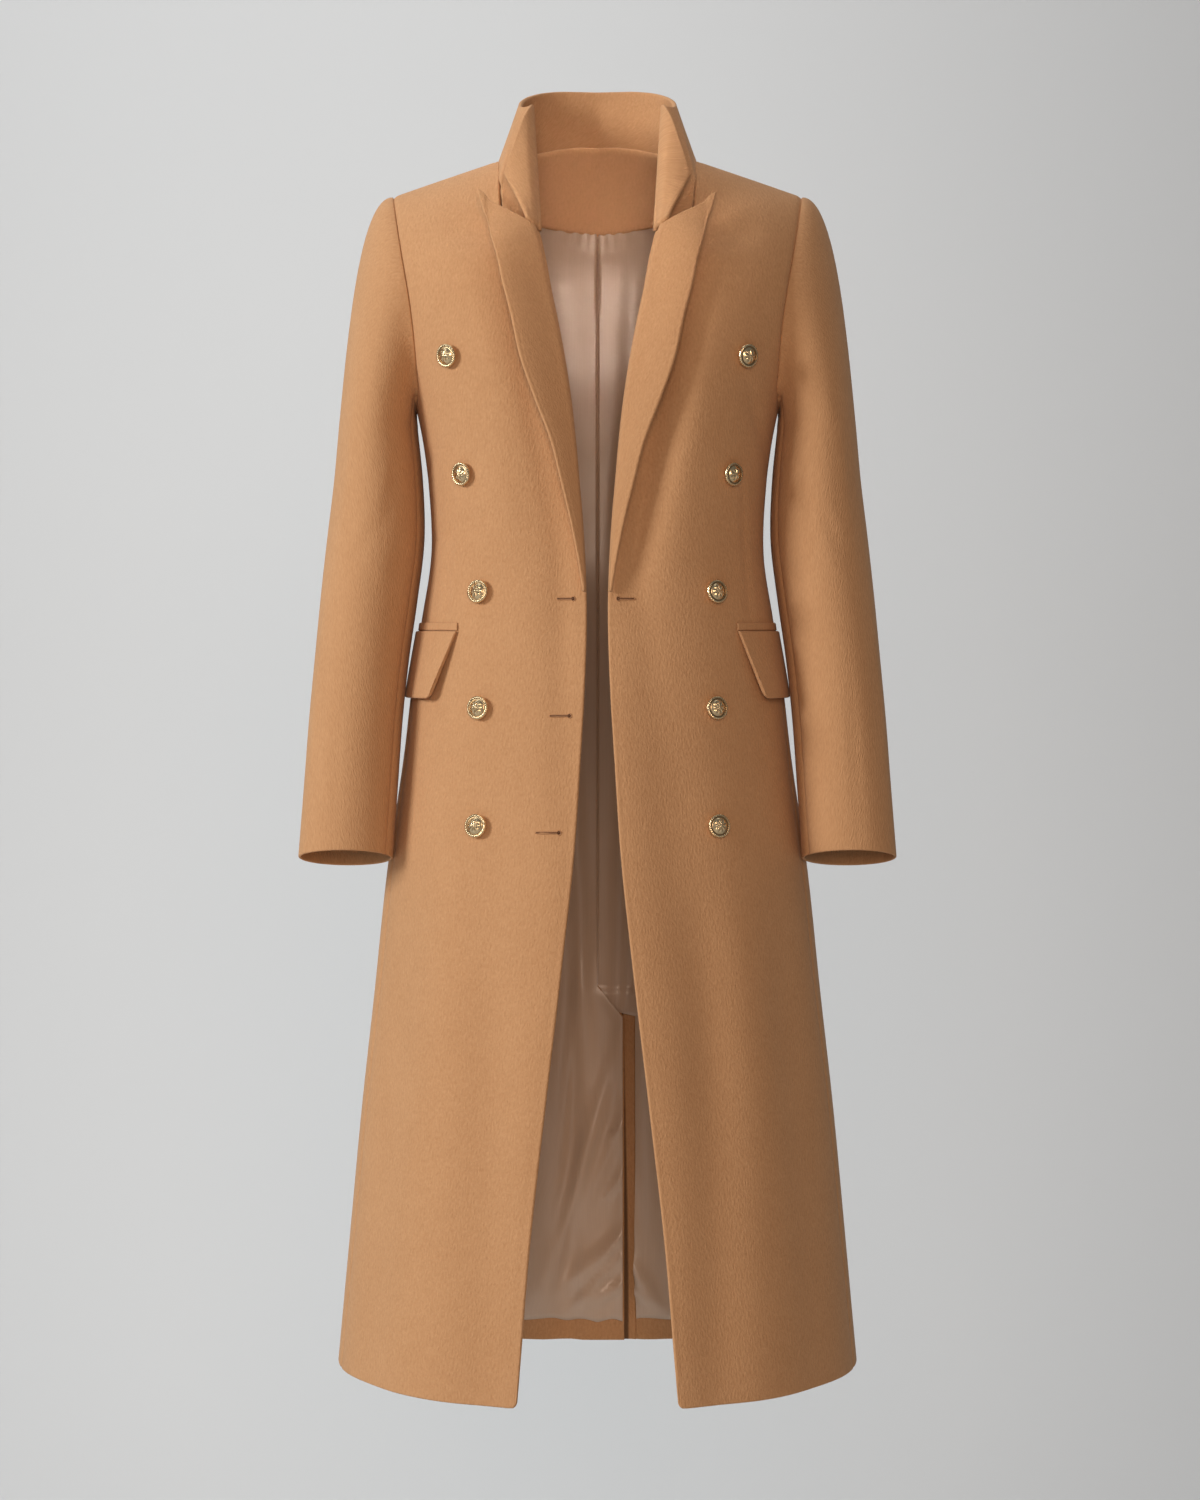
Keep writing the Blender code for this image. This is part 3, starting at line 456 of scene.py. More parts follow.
def outward(form, first, second, step=1e-4):
    """Unit normals of a form of two parameters, by differences, away from its inside."""
    a = form(first + step, second) - form(first - step, second)
    b = form(first, second + step) - form(first, second - step)
    normal = np.cross(b, a)
    return normal / np.linalg.norm(normal, axis=-1, keepdims=True)


def on_coat(angle, row, side, step=1e-4):
    """Points of the coat's form with their outward normals."""
    form = lambda a, r: coat(a, r, side)
    return form(angle, row), outward(form, angle, row, step)


def angle_of_x(x, drop, part):
    """The plan angle where the front or the back half passes a given x."""
    power = FRONT_SQUARENESS if part == "front" else BACK_SQUARENESS
    width = read(BODY, "half_width", drop)
    share = np.clip(1 - np.abs(x / width) ** power, 0, 1) ** (1 / power)
    angle = np.arctan2(x, share * read(BODY, part, drop))
    return angle if part == "front" else math.pi - angle


def side_angle(drop):
    """The plan angle of the side seam, which lies ahead of the widest point on the skirt."""
    ahead = read(BODY, "side_y", drop) - read(SIDE_SEAM, "y", drop)
    share = np.clip(1 - (np.abs(ahead) / read(BODY, "front", drop)) ** FRONT_SQUARENESS, 0, 1)
    x = read(BODY, "half_width", drop) * share ** (1 / FRONT_SQUARENESS)
    return np.arctan2(x, ahead)


def armhole_angle(drop, part):
    """The armhole seam: its table down to the lowest row, then an ellipse to the side seam."""
    table = edge_by_drop(FRONT_ARMHOLE if part == "front" else BACK_ARMHOLE)
    angle = angle_of_x(read(table, "x", drop), drop, part)
    low = table["drop"][-1]
    turn = np.clip((drop - low) / (UNDERARM_DROP - low), 0, 1)
    held = angle_of_x(table["x"][-1], low, part)
    under = side_angle(UNDERARM_DROP)
    curve = held + (under - held) * (1 - np.sqrt(np.clip(1 - turn**2, 0, 1)))
    return np.where(drop < low, angle, curve)


def outer_angle(drop, part):
    """The panel's outer limit at a drop: armhole above the underarm, side seam below."""
    seam = side_angle(np.maximum(drop, UNDERARM_DROP))
    return np.where(drop < UNDERARM_DROP, armhole_angle(drop, part), seam)


def across_panel(start, share, drop, part):
    """Plan angles across a panel; its inner columns pass the underarm on a smooth line."""
    passing = ease((drop - PASSING[0]) / (PASSING[1] - PASSING[0]))
    above = armhole_angle(np.minimum(drop, PASSING_HELD), part)
    below = side_angle(np.maximum(drop, UNDERARM_DROP))
    smooth = above + (below - above) * passing
    apart = (outer_angle(drop, part) - smooth) * share**PASSING_POWER
    return start + (smooth - start) * share + apart


def edge_run(grid):
    """Distance of each point from the grid's four edges: top, bottom, start and end."""
    down = np.cumsum(np.linalg.norm(np.diff(grid, axis=0), axis=-1), axis=0)
    down = np.concatenate([np.zeros((1, grid.shape[1])), down])
    along = np.cumsum(np.linalg.norm(np.diff(grid, axis=1), axis=-1), axis=1)
    along = np.concatenate([np.zeros((grid.shape[0], 1)), along], axis=1)
    return {"top": down, "bottom": down[-1] - down, "start": along, "end": along[:, -1:] - along}


SEAM_DIP = 0.0015  # how far the cloth rolls in at a pressed seam
SEAM_ROLL = 0.0027  # and over what width
ROLLED_STEPS = (0.0, 0.0004, 0.0011, 0.0021, 0.0040)  # fine columns beside an edge


def finished_wall(base, normal, thick, rolled=(), seamed=(), run=None):
    """Outer and inner grids of cloth: its rolled edges are half round, its seams dip in.

    Half round: at a distance s from the edge both faces close in by r - sqrt(r^2 - (r - s)^2).
    """
    run = run or edge_run(base)
    close = np.zeros(base.shape[:2])
    dip = np.zeros(base.shape[:2])
    half = np.broadcast_to(np.asarray(thick, float) / 2, close.shape)
    for edge in rolled:
        inside = np.clip(half - run[edge], 0, None)
        close = np.maximum(close, half - np.sqrt(np.clip(half**2 - inside**2, 0, None)))
    for edge in seamed:
        dip = dip + SEAM_DIP * bell(run[edge] / SEAM_ROLL)
    outer = base - normal * (close * 0.96 + dip)[..., None]
    inner = base - normal * (2 * half - close * 0.96)[..., None]
    return outer, inner


def cloth_mesh(name, outer, inner, uv, finish):
    """A closed wall of quads: the outer grid, the inner grid turned over, and a strip between."""
    down, across = outer.shape[:2]
    count = down * across
    number = np.arange(count).reshape(down, across)
    quads = np.stack([number[:-1, :-1], number[1:, :-1], number[1:, 1:], number[:-1, 1:]], axis=-1)
    quads = quads.reshape(-1, 4)
    rim = np.concatenate([number[0, :-1], number[:-1, -1], number[-1, :0:-1], number[:0:-1, 0]])
    after = np.roll(rim, -1)
    strip = np.stack([rim, after, after + count, rim + count], axis=-1)
    faces = np.concatenate([quads, quads[:, ::-1] + count, strip])
    points = np.concatenate([outer.reshape(-1, 3), inner.reshape(-1, 3)])
    a, b, c = points[quads[:, 0]], points[quads[:, 1]], points[quads[:, 3]]
    outwards = points[quads[:, 0]] - points[quads[:, 0] + count]
    if np.einsum("ij,ij->", np.cross(b - a, c - a), outwards) < 0:
        faces = faces[:, ::-1]
    piece = new_object(name, points.tolist(), faces.tolist(), finish)
    flat = np.concatenate([uv.reshape(-1, 2), uv.reshape(-1, 2)])
    piece.data.uv_layers.new(name="cloth").data.foreach_set("uv", flat[faces.ravel()].ravel())
    return piece


def cloth_uv(base, left=0.0):
    """The cloth's own map in metres: along each row from its start, and down each column."""
    run = edge_run(base)
    return np.stack([np.broadcast_to(run["start"] + left, base.shape[:2]), -run["top"]], axis=-1)


def mirrored(points, side):
    return points * np.array([side, 1.0, 1.0])


def hand_over(piece, node):
    """The piece rides the one body and stands for its CAD node."""
    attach(piece, "root")
    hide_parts(node)


def cloth_piece(node, side, wall, uv, finish):
    """A finished wall as the cloth of a CAD node."""
    cloth = "satin" if finish.name.endswith("satin") else "wool"
    outer, inner = mirrored(wall[0], side), mirrored(wall[1], side)
    piece = cloth_mesh(f"{node}_{cloth}", outer, inner, uv, finish)
    hand_over(piece, node)


def spaced(length, step):
    """Shares from 0 to 1, about a step apart, with fine ones beside both ends."""
    fine = np.array(ROLLED_STEPS) / length
    middle = np.linspace(fine[-1], 1 - fine[-1], max(3, int(length / step)))
    return np.concatenate([fine[:-1], middle, 1 - fine[-2::-1]])


def add(tree, kind, values, **settings):
    """A new shader node with its settings and inputs."""
    node = tree.nodes.new(f"ShaderNode{kind}")
    for name, value in settings.items():
        setattr(node, name, value)
    return put(tree, node, values)


def wool_group():
    """Napped twill: soft diagonal ribs, a short lying nap and slow mottling, from a map in metres."""
    tree = bpy.data.node_groups.new("wool_nap", "ShaderNodeTree")
    for name in ("Tone", "Height"):
        tree.interface.new_socket(name=name, in_out="OUTPUT", socket_type="NodeSocketFloat")
    tree.interface.new_socket(name="Map", in_out="INPUT", socket_type="NodeSocketVector")
    for name in ("Rib", "Nap", "Mottle"):
        tree.interface.new_socket(name=name, in_out="INPUT", socket_type="NodeSocketFloat")
    given, result = tree.nodes.new("NodeGroupInput"), tree.nodes.new("NodeGroupOutput")

    def maths(operation, first, second):
        return add(tree, "Math", {0: first, 1: second}, operation=operation).outputs["Value"]

    def noise(turn, scale, stretch, detail):
        place = add(tree, "Mapping", {
            "Rotation": (0, 0, math.radians(turn)),
            "Scale": (scale, scale * stretch, scale),
            "Vector": given.outputs["Map"],
        })
        grain = {"Scale": 1.0, "Detail": detail, "Vector": place.outputs["Vector"]}
        return maths("SUBTRACT", add(tree, "TexNoise", grain).outputs["Fac"], 0.5)

    rib = maths("MULTIPLY", noise(38, 560.0, 0.30, 2.0), given.outputs["Rib"])
    nap = maths("MULTIPLY", noise(-12, 430.0, 0.75, 5.0), given.outputs["Nap"])
    both = maths("ADD", noise(20, 22.0, 0.6, 3.0), noise(0, 90.0, 0.8, 3.0))
    slow = maths("MULTIPLY", both, given.outputs["Mottle"])
    height_of_nap = maths("ADD", rib, nap)
    put(tree, result, {"Tone": maths("ADD", height_of_nap, slow), "Height": height_of_nap})
    return tree


WOOL_NAP = wool_group()
NAP_SHARES = {"Rib": 0.9, "Nap": 1.0, "Mottle": 0.35}
WOOL_SURFACE = {
    "Roughness": 0.88,
    "Specular IOR Level": 0.25,
    "Sheen Weight": 0.12,
    "Sheen Roughness": 0.55,
    "Sheen Tint": (1.0, 0.80, 0.62, 1),
}


def wool_material(name, light, dark):
    """Camel wool: between a light and a dark tone by the nap, with a soft fuzzy sheen."""
    made = new_material(name, WOOL_SURFACE)
    tree = made.node_tree
    place = add(tree, "UVMap", {}, uv_map="cloth").outputs["UV"]
    nap = add(tree, "Group", {}, node_tree=WOOL_NAP)
    put(tree, nap, {**NAP_SHARES, "Map": place})
    tone = {"From Min": -0.5, "From Max": 0.5, "Value": nap.outputs["Tone"]}
    blend = add(tree, "MapRange", tone).outputs["Result"]
    tones = {"A": (*dark, 1), "B": (*light, 1), "Factor": blend}
    colour = add(tree, "Mix", tones, data_type="RGBA")
    bumps = {"Strength": 0.60, "Distance": 0.0009, "Height": nap.outputs["Height"]}
    bump = add(tree, "Bump", bumps)
    surface = {"Base Color": colour.outputs["Result"], "Normal": bump.outputs["Normal"]}
    put(tree, tree.nodes["Principled BSDF"], surface)
    return made


CAMEL_LIGHT = (0.605, 0.332, 0.160)
CAMEL_DARK = (0.470, 0.236, 0.102)
CAMEL = wool_material("camel_wool_twill", CAMEL_LIGHT, CAMEL_DARK)
PAINTED_FACING_LIGHT = (0.80, 0.465, 0.240)  # painted light: the neck facing is paler than the coat's wool, to stand in for light inside the neck
PAINTED_FACING_DARK = (0.70, 0.385, 0.190)
PAINTED_LIGHT_CAMEL = wool_material("neck_facing_wool_painted_light", PAINTED_FACING_LIGHT, PAINTED_FACING_DARK)

VENT_TOP = 0.785  # drop of the centre seam's lower end
VENT_SLANT = 0.030  # the underlap's top edge slants down by this much
UNDERLAP = 0.026  # how far the right back passes under the left one
UNDERLAP_ANGLES = (math.pi - 0.27, math.pi - 0.13)
UNDERLAP_RUN = (0.745, 0.795)
CLOTH_STEP = 0.0055  # rows and columns of panels and sleeves are about this far apart
CAP_ROWS = 40
BACK_WIDE = 0.28  # a mean width, for the columns' steps


def underlap_depth(angle, drop):
    """How far the right back sinks under the left one at the vent, by its place across."""
    past = (angle - UNDERLAP_ANGLES[0]) / (UNDERLAP_ANGLES[1] - UNDERLAP_ANGLES[0])
    down = (drop - UNDERLAP_RUN[0]) / (UNDERLAP_RUN[1] - UNDERLAP_RUN[0])
    return (WOOL + FACING + 6 * GAP) * ease(past) * ease(down)


def back_neck_x(drop):
    """Half-width of the back neckline at a drop."""
    known = drop_at(BACK_NECK["x"], BACK_NECK["z"])
    return np.interp(drop, known[::-1], BACK_NECK["x"][::-1])


def centre_angle(drop, side):
    """The back panel's inner limit: neckline, centre seam, then the vent's edge."""
    neck = angle_of_x(back_neck_x(drop), drop, "back")
    if side > 0:
        return neck
    past = np.clip((drop - VENT_TOP) / VENT_SLANT, 0, 1) * UNDERLAP
    return neck + past / read(BODY, "back", drop)


def panel_rows():
    """Rows from the shoulder's ridge to the hem: even round the cap, then a step apart."""
    cap = np.concatenate([[0.002], np.linspace(0.01, 1, CAP_ROWS)])
    fine = LENGTH - np.array(ROLLED_STEPS[:0:-1])
    down = np.linspace(CAP_DROP, fine[0], int((fine[0] - CAP_DROP) / CLOTH_STEP))[1:]
    return np.concatenate([cap, row_of(np.concatenate([down, fine[1:], [LENGTH]]))])


def back_panel(word, side):
    """A back on the coat's form: a grid of angles and rows, sunk at the vent's underlap."""
    row = panel_rows()
    drop = drop_of(row)[:, None]
    share = spaced(BACK_WIDE, CLOTH_STEP)
    angle = across_panel(centre_angle(drop, side), share, drop, "back")
    row = np.repeat(row[:, None], len(share), axis=1)
    base, normal = on_coat(angle, row, side)
    if side < 0:
        base = base - normal * underlap_depth(angle, drop_of(row))[..., None]
    run = edge_run(base)
    below = run["start"] + 1.0 * (drop_of(row) < VENT_TOP)  # a metre away above the vent
    above = run["start"] + 1.0 * (drop_of(row) >= VENT_TOP)
    run = {**run, "vent": below, "centre": above}
    wall = finished_wall(base, normal, WOOL, ("bottom", "vent"), ("top", "end", "centre"), run)
    uv = cloth_uv(base, base[:, :1, 0])
    cloth_piece(f"{word}_back", side, wall, uv, CAMEL)


for word, side in (("left", 1), ("right", -1)):
    back_panel(word, side)

# Vent facing: a strip of the same wool, turned in along the left back's edge beside the vent.
VENT_FACING_WIDE = 0.0375
VENT_FACING_LONG = 0.35
VENT_FACING_STEP = 0.006


def painted_shade_material(source, name, reach, share):
    """A cloth with painted shade near its start, deep in a fold: its colour times a ramp of the map.
    """
    made = source.copy()
    made.name = name
    tree = made.node_tree
    shader = tree.nodes["Principled BSDF"]
    place = add(tree, "UVMap", {}, uv_map="cloth").outputs["UV"]
    across = add(tree, "SeparateXYZ", {"Vector": place}).outputs["X"]
    ramp = {"From Min": reach - 0.001, "From Max": reach + 0.001, "To Min": share, "Value": across}
    scale = add(tree, "MapRange", ramp).outputs["Result"]
    colour = shader.inputs["Base Color"].links[0].from_socket
    darker = add(tree, "VectorMath", {"Vector": colour, "Scale": scale}, operation="SCALE")
    put(tree, shader, {"Base Color": darker.outputs["Vector"]})
    return made


PAINTED_SHADE_REACH = 0.0310  # painted shade darkens the strip this far from the centre seam, where it lies deep in the fold
PAINTED_SHADE_CAMEL = painted_shade_material(CAMEL, "vent_fold_wool_painted_shade", PAINTED_SHADE_REACH, 0.30)


def vent_facing():
    """A strip on the left back's inner side, slanted at its top like the underlap."""
    lines = spaced(VENT_FACING_WIDE, VENT_FACING_STEP), spaced(VENT_FACING_LONG, VENT_FACING_STEP)
    across, down = np.meshgrid(*lines)
    top = VENT_TOP + VENT_SLANT * (0.1 + 0.9 * across)
    drop = top + (LENGTH - GAP - top) * down
    start = centre_angle(drop, 1)
    angle = start - VENT_FACING_WIDE * across / read(BODY, "back", drop)
    base, normal = on_coat(angle, row_of(drop), 1)
    base = base - normal * (WOOL + GAP)
    wall = finished_wall(base, normal, FACING, ("start", "end", "bottom"))
    uv = cloth_uv(base)
    # Painted shade: the strip's wool is darker where it lies deep in the fold behind the underlap.
    cloth_piece("vent_facing", 1, wall, uv, PAINTED_SHADE_CAMEL)


vent_facing()

# Fronts: each panel is one length of wool with its free edge faced and turned, so that edge is
# thick and round. A dart from below the bust to the pocket takes in the waist.
FRONT_WIDE = 0.24  # a mean width, for the columns' steps
HEM_CORNER = 0.006  # radius of the free edge's corner at the hem
HEM_CORNER_HIGH = 0.04
EDGE_TURN = 0.0016  # how much thicker the turned free edge is
EDGE_TURN_WIDE = 0.0065
FACING_LINE = 0.0034  # the edge seam's line lies this far in
FACING_LINE_DEEP = 0.0004
FACING_LINE_WIDE = 0.0009
DART = rows(
    "drop x",
    (0.262, 0.1315),
    (0.300, 0.1325),
    (0.345, 0.1340),
    (0.395, 0.1365),
    (0.430, 0.1385),
)
DART_DEEP = 0.0020
DART_WIDE = 0.0022
DART_FADE = 0.10  # its upper point fades in over this length
CHEEK_HIGH = 0.0008  # the cloth swells a little beside the dart
CHEEK_WIDE = 6  # as many times as wide as the dart


def dart(x, drop):
    """A dart's stitched line: a narrow valley in soft cheeks, fading out at its upper point."""
    away = (x - read(DART, "x", drop)) / DART_WIDE
    inside = ease((drop - DART["drop"][0]) / DART_FADE) * (drop < DART["drop"][-1])
    return inside * (DART_DEEP * bell(away) - CHEEK_HIGH * bell(away / CHEEK_WIDE))


def front_panel(word, side):
    """A front on the coat's form, from its free edge to the armhole and the side seam."""
    row = panel_rows()
    drop = drop_of(row)[:, None]
    share = spaced(FRONT_WIDE, CLOTH_STEP)
    start = angle_of_x(read(EDGE_BY_DROP, "x", drop), drop, "front")
    angle = across_panel(start, share, drop, "front")
    row = np.repeat(row[:, None], len(share), axis=1)
    distance = np.minimum(share * FRONT_WIDE, HEM_CORNER)
    corner = HEM_CORNER - np.sqrt(HEM_CORNER**2 - (HEM_CORNER - distance) ** 2)
    lowest = ease((drop_of(row) - (LENGTH - HEM_CORNER_HIGH)) / HEM_CORNER_HIGH)
    row = row_of(drop_of(row) - corner * lowest)
    base, normal = on_coat(angle, row, side)
    run = edge_run(base)
    thick = WOOL + EDGE_TURN * bell(run["start"] / EDGE_TURN_WIDE)
    base = base - normal * dart(base[..., 0], drop_of(row))[..., None]
    line = FACING_LINE_DEEP * bell((run["start"] - FACING_LINE) / FACING_LINE_WIDE)
    base = base - normal * line[..., None]
    wall = finished_wall(base, normal, thick, ("start", "bottom"), ("top", "end"), run)
    uv = cloth_uv(base, base[:, :1, 0])
    cloth_piece(f"{word}_front", side, wall, uv, CAMEL)


for word, side in (("left", 1), ("right", -1)):
    front_panel(word, side)

# Sleeves: each is two pieces of wool, a wide top sleeve and a narrow under sleeve, with the seam
# between them at the back of the arm. The head is eased into the armhole and stands out at it.
SLEEVE = rows(
    "down outer inner middle_y half_depth rise",
    (0.250, 0.2425, 0.1690, 0.000, 0.0680, 0.0000),
    (0.300, 0.2470, 0.1640, -0.001, 0.0660, 0.0000),
    (0.354, 0.2533, 0.1624, -0.004, 0.0620, 0.0010),
    (0.411, 0.2590, 0.1685, -0.010, 0.0575, 0.0030),
    (0.467, 0.2637, 0.1760, -0.017, 0.0525, 0.0050),
    (0.524, 0.2684, 0.1815, -0.024, 0.0475, 0.0070),
    (0.580, 0.2720, 0.1850, -0.031, 0.0430, 0.0085),
    (0.652, 0.2770, 0.1895, -0.038, 0.0385, 0.0085),
)
BICEP = 0.250
CUFF = 0.652
HEAD_OUT = np.array([0.45, 0.0, 0.027])  # the head stands out this much at its seam
HEAD_DOWN = np.array([0.09, 0.0, -0.90])  # and runs so into the bicep ring, as shares of its reach
FRONT_SEAM = math.radians(-65)  # angles round the sleeve: 0 front, 90 outer, -90 underarm
BACK_SEAM = math.radians(140)
# Soft creases of the sleeves: middle as an angle and a depth below the neck point.
SLEEVE_CREASES = rows(
    "side angle drop slant length width depth",
    (1, -20, 0.330, 35, 0.045, 0.010, -0.0016),
    (1, 8, 0.352, 62, 0.040, 0.010, -0.0012),
    (1, -35, 0.400, 70, 0.035, 0.010, -0.0014),
    (1, 30, 0.300, 15, 0.080, 0.014, 0.0012),
    (1, 60, 0.500, 4, 0.110, 0.016, 0.0014),
    (1, 10, 0.560, -6, 0.080, 0.014, -0.0010),
    (-1, -22, 0.322, 38, 0.048, 0.010, -0.0017),
    (-1, 4, 0.362, 66, 0.042, 0.009, -0.0012),
    (-1, -40, 0.388, 74, 0.034, 0.010, -0.0013),
    (-1, 34, 0.290, 12, 0.085, 0.015, 0.0013),
    (-1, 56, 0.520, 3, 0.105, 0.016, 0.0014),
    (-1, 14, 0.580, -8, 0.070, 0.014, -0.0010),
    (1, 120, 0.380, -60, 0.045, 0.010, -0.0015),
    (1, 150, 0.430, -72, 0.040, 0.010, -0.0014),
    (1, 170, 0.350, -40, 0.050, 0.012, -0.0013),
    (-1, 122, 0.372, -62, 0.045, 0.010, -0.0015),
    (-1, 152, 0.422, -74, 0.040, 0.010, -0.0013),
    (-1, 172, 0.342, -38, 0.052, 0.012, -0.0013),
)
ARMHOLE_TURN = 0.004  # seam allowance turned in behind the armhole's seam
TOP_SLEEVE_SHEET = {"flat": (0.20, 0.66), "area": 0.100, "held": "hung"}
UNDER_SLEEVE_SHEET = {"flat": (0.14, 0.58), "area": 0.062, "held": "hung"}
MEAN_WIDTH = 0.8  # a sleeve piece's mean width as a share of its cut width
FAN_ROWS = 34


def armhole_curve(part, side):
    """The armhole on the front or the back, from the tip to the underarm, by its own length."""
    drop = UNDERARM_DROP * (1 - np.cos(np.linspace(0.01, math.pi, 240))) / 2
    points = coat(armhole_angle(drop, part), row_of(drop), side)
    length = np.cumsum(np.linalg.norm(np.diff(points, axis=0), axis=1))
    share = np.concatenate([[0], length / length[-1]])
    return share, points


def first_turn(angle):
    """The same angle, from a quarter turn before 0 on."""
    return (angle + math.pi / 2) % (2 * math.pi) - math.pi / 2


def armhole(angle, side):
    """The armhole's point for an angle round the sleeve."""
    quarter = math.pi / 2
    angle = first_turn(angle)
    found = []
    for part, share in (("front", (quarter - angle) / math.pi), ("back", (angle - quarter) / math.pi)):
        known, points = armhole_curve(part, side)
        found.append(np.stack([np.interp(share, known, points[:, k]) for k in range(3)], axis=-1))
    return np.where((angle <= quarter)[..., None], found[0], found[1])


def sleeve_ring(angle, down):
    """A point of the hanging sleeve's rings, which are ellipses."""
    outer, inner = read(SLEEVE, "outer", down), read(SLEEVE, "inner", down)
    x = (outer + inner) / 2 + (outer - inner) / 2 * np.sin(angle)
    y = read(SLEEVE, "middle_y", down) - read(SLEEVE, "half_depth", down) * np.cos(angle)
    return np.stack([x, y, read(SLEEVE, "rise", down) * np.cos(angle) - down], axis=-1)


def sleeve(angle, reach, side):
    """A point of the sleeve: reach 0 to 1 fans out from the armhole and turns down to the
    bicep ring on cubics that start level and outwards; past 1 it goes down the rings."""
    angle, reach = np.broadcast_arrays(angle, reach)
    start, end = armhole(angle, side), sleeve_ring(angle, BICEP)
    far = np.linalg.norm(end - start, axis=-1, keepdims=True)
    t = np.minimum(reach, 1)[..., None]
    fan = start * (1 + 2 * t) * (1 - t) ** 2 + far * HEAD_OUT * t * (1 - t) ** 2
    fan = fan + end * t**2 * (3 - 2 * t) + far * HEAD_DOWN * t**2 * (t - 1)
    ring = sleeve_ring(angle, BICEP + np.maximum(reach - 1, 0))
    return np.where((reach > 1)[..., None], ring, fan)


def sleeve_piece(word, part, side, start, end, sheet):
    """One length of a sleeve, on the sleeve's form with its creases moved in or out."""
    fan = np.linspace(0, 1, FAN_ROWS)
    last = CUFF - ROLLED_STEPS[-1]
    downs = np.linspace(BICEP, last, int((CUFF - BICEP) / CLOTH_STEP))[1:]
    low = CUFF - np.array(ROLLED_STEPS[:-1])[::-1]
    fine = np.array([0.0, 0.0, 0.0015, 0.004, 0.008])
    reach = np.concatenate([fine, fan[1:], np.concatenate([downs, low]) - BICEP + 1])
    share = spaced(sheet["flat"][0] * MEAN_WIDTH, CLOTH_STEP)
    angle, reach = np.meshgrid(start + (end - start) * share, reach)
    form = lambda a, r: sleeve(a, r, side)
    normal = outward(form, angle, reach)
    along = first_turn(angle) * CREASE_RADIUS
    depth = creased(SLEEVE_CREASES, side, along, BICEP + reach - 1)
    base = form(angle, reach) + normal * (depth * ease(reach / 0.5))[..., None]
    level = -0.1 * np.ones(base.shape[1])
    inwards = np.stack([0.10 - base[0, :, 0], -base[0, :, 1], level], axis=-1)
    inwards = inwards / np.linalg.norm(inwards, axis=-1, keepdims=True)
    base[0] = base[0] + inwards * ARMHOLE_TURN
    wall = finished_wall(base, normal, WOOL, ("bottom",), ("top", "start", "end"))
    cloth_piece(f"{word}_{part}_sleeve", side, wall, cloth_uv(base), CAMEL)


for word, side in (("left", 1), ("right", -1)):
    sleeve_piece(word, "top", side, FRONT_SEAM, BACK_SEAM, TOP_SLEEVE_SHEET)
    around = FRONT_SEAM + 2 * math.pi
    sleeve_piece(word, "under", side, BACK_SEAM, around, UNDER_SLEEVE_SHEET)

# Collar: two layers of wool on a stand, turned up round the neck. Its front corners are turned
# back outside as leaves, down to the notches over the lapels.
FACED = 0.0042
COLLAR_TOP = rows(
    "x y z",
    (0.0000, 0.0585, 0.0800),
    (0.0180, 0.0570, 0.0800),
    (0.0360, 0.0520, 0.0790),
    (0.0520, 0.0425, 0.0755),
    (0.0635, 0.0270, 0.0690),
    (0.0700, 0.0080, 0.0605),
    (0.0717, -0.0090, 0.0525),
    (0.0700, -0.0210, 0.0475),
    (0.0660, -0.0290, 0.0455),
    (0.0610, -0.0330, 0.0460),
)
COLLAR_LEAF = rows(
    "x_low y_low z_low x_top y_top z_top",
    (0.0548, -0.1005, -0.0785, 0.0628, -0.0415, 0.0440),
    (0.0578, -0.1050, -0.0768, 0.0685, -0.0530, 0.0310),
    (0.0608, -0.1062, -0.0744, 0.0775, -0.0680, 0.0000),
    (0.0640, -0.1080, -0.0716, 0.0850, -0.0775, -0.0270),
)
COLLAR_FOOT = -0.012  # the collar's foot dips this share of its height into the neck seam
COLLAR_INSET = rows(
    "x y z",
    (-0.0016, 0.0000, 0.0000),
    (-0.0020, 0.0006, 0.0000),
    (-0.0022, 0.0014, 0.0004),
    (-0.0040, 0.0030, 0.0010),
    (0.0000, 0.0030, 0.0000),
)
EDGE_LINE = 0.0040  # the edge seam's line on collar and lapels lies this far in
EDGE_LINE_DEEP = 0.00022
EDGE_LINE_WIDE = 0.0009


def form_point(x, z, part, side=1):
    """The point of the coat's form at a given x and height, on its front or its back."""
    drop = drop_at(x, z)
    return coat(angle_of_x(x, drop, part), row_of(drop), side)


def columns(table, names):
    return np.stack([table[name] for name in names.split()], axis=-1)


def collar_stations():
    """The collar's lower and upper points by station, from the wearer's right end to the left."""
    back = form_point(BACK_NECK["x"], BACK_NECK["z"], "back")
    front = form_point(FRONT_EDGE["x"][1:5], FRONT_EDGE["z"][1:5], "front")
    low = np.concatenate([back, front, columns(COLLAR_LEAF, "x_low y_low z_low")])
    inset = columns(COLLAR_INSET, "x y z")
    low[len(back) - 1 : len(back) - 1 + len(inset)] += inset
    leaf_top = columns(COLLAR_LEAF, "x_top y_top z_top")
    top = np.concatenate([columns(COLLAR_TOP, "x y z"), leaf_top])
    half = np.stack([low, top])
    return np.concatenate([mirrored(half[:, :0:-1], -1), half], axis=1)


COLLAR_LOW, COLLAR_HIGH = collar_stations()
COLLAR_REACH = len(COLLAR_LOW) // 2


def collar_form(station, up):
    """Straight across from a smooth curve through the lower points to one through the upper."""
    place = np.arange(-COLLAR_REACH, COLLAR_REACH + 1.0)
    ends = []
    for points in (COLLAR_LOW, COLLAR_HIGH):
        table = {"place": place, "x": points[:, 0], "y": points[:, 1], "z": points[:, 2]}
        ends.append(np.stack([read(table, k, station) for k in "xyz"], axis=-1))
    return ends[0] + (ends[1] - ends[0]) * up[..., None]


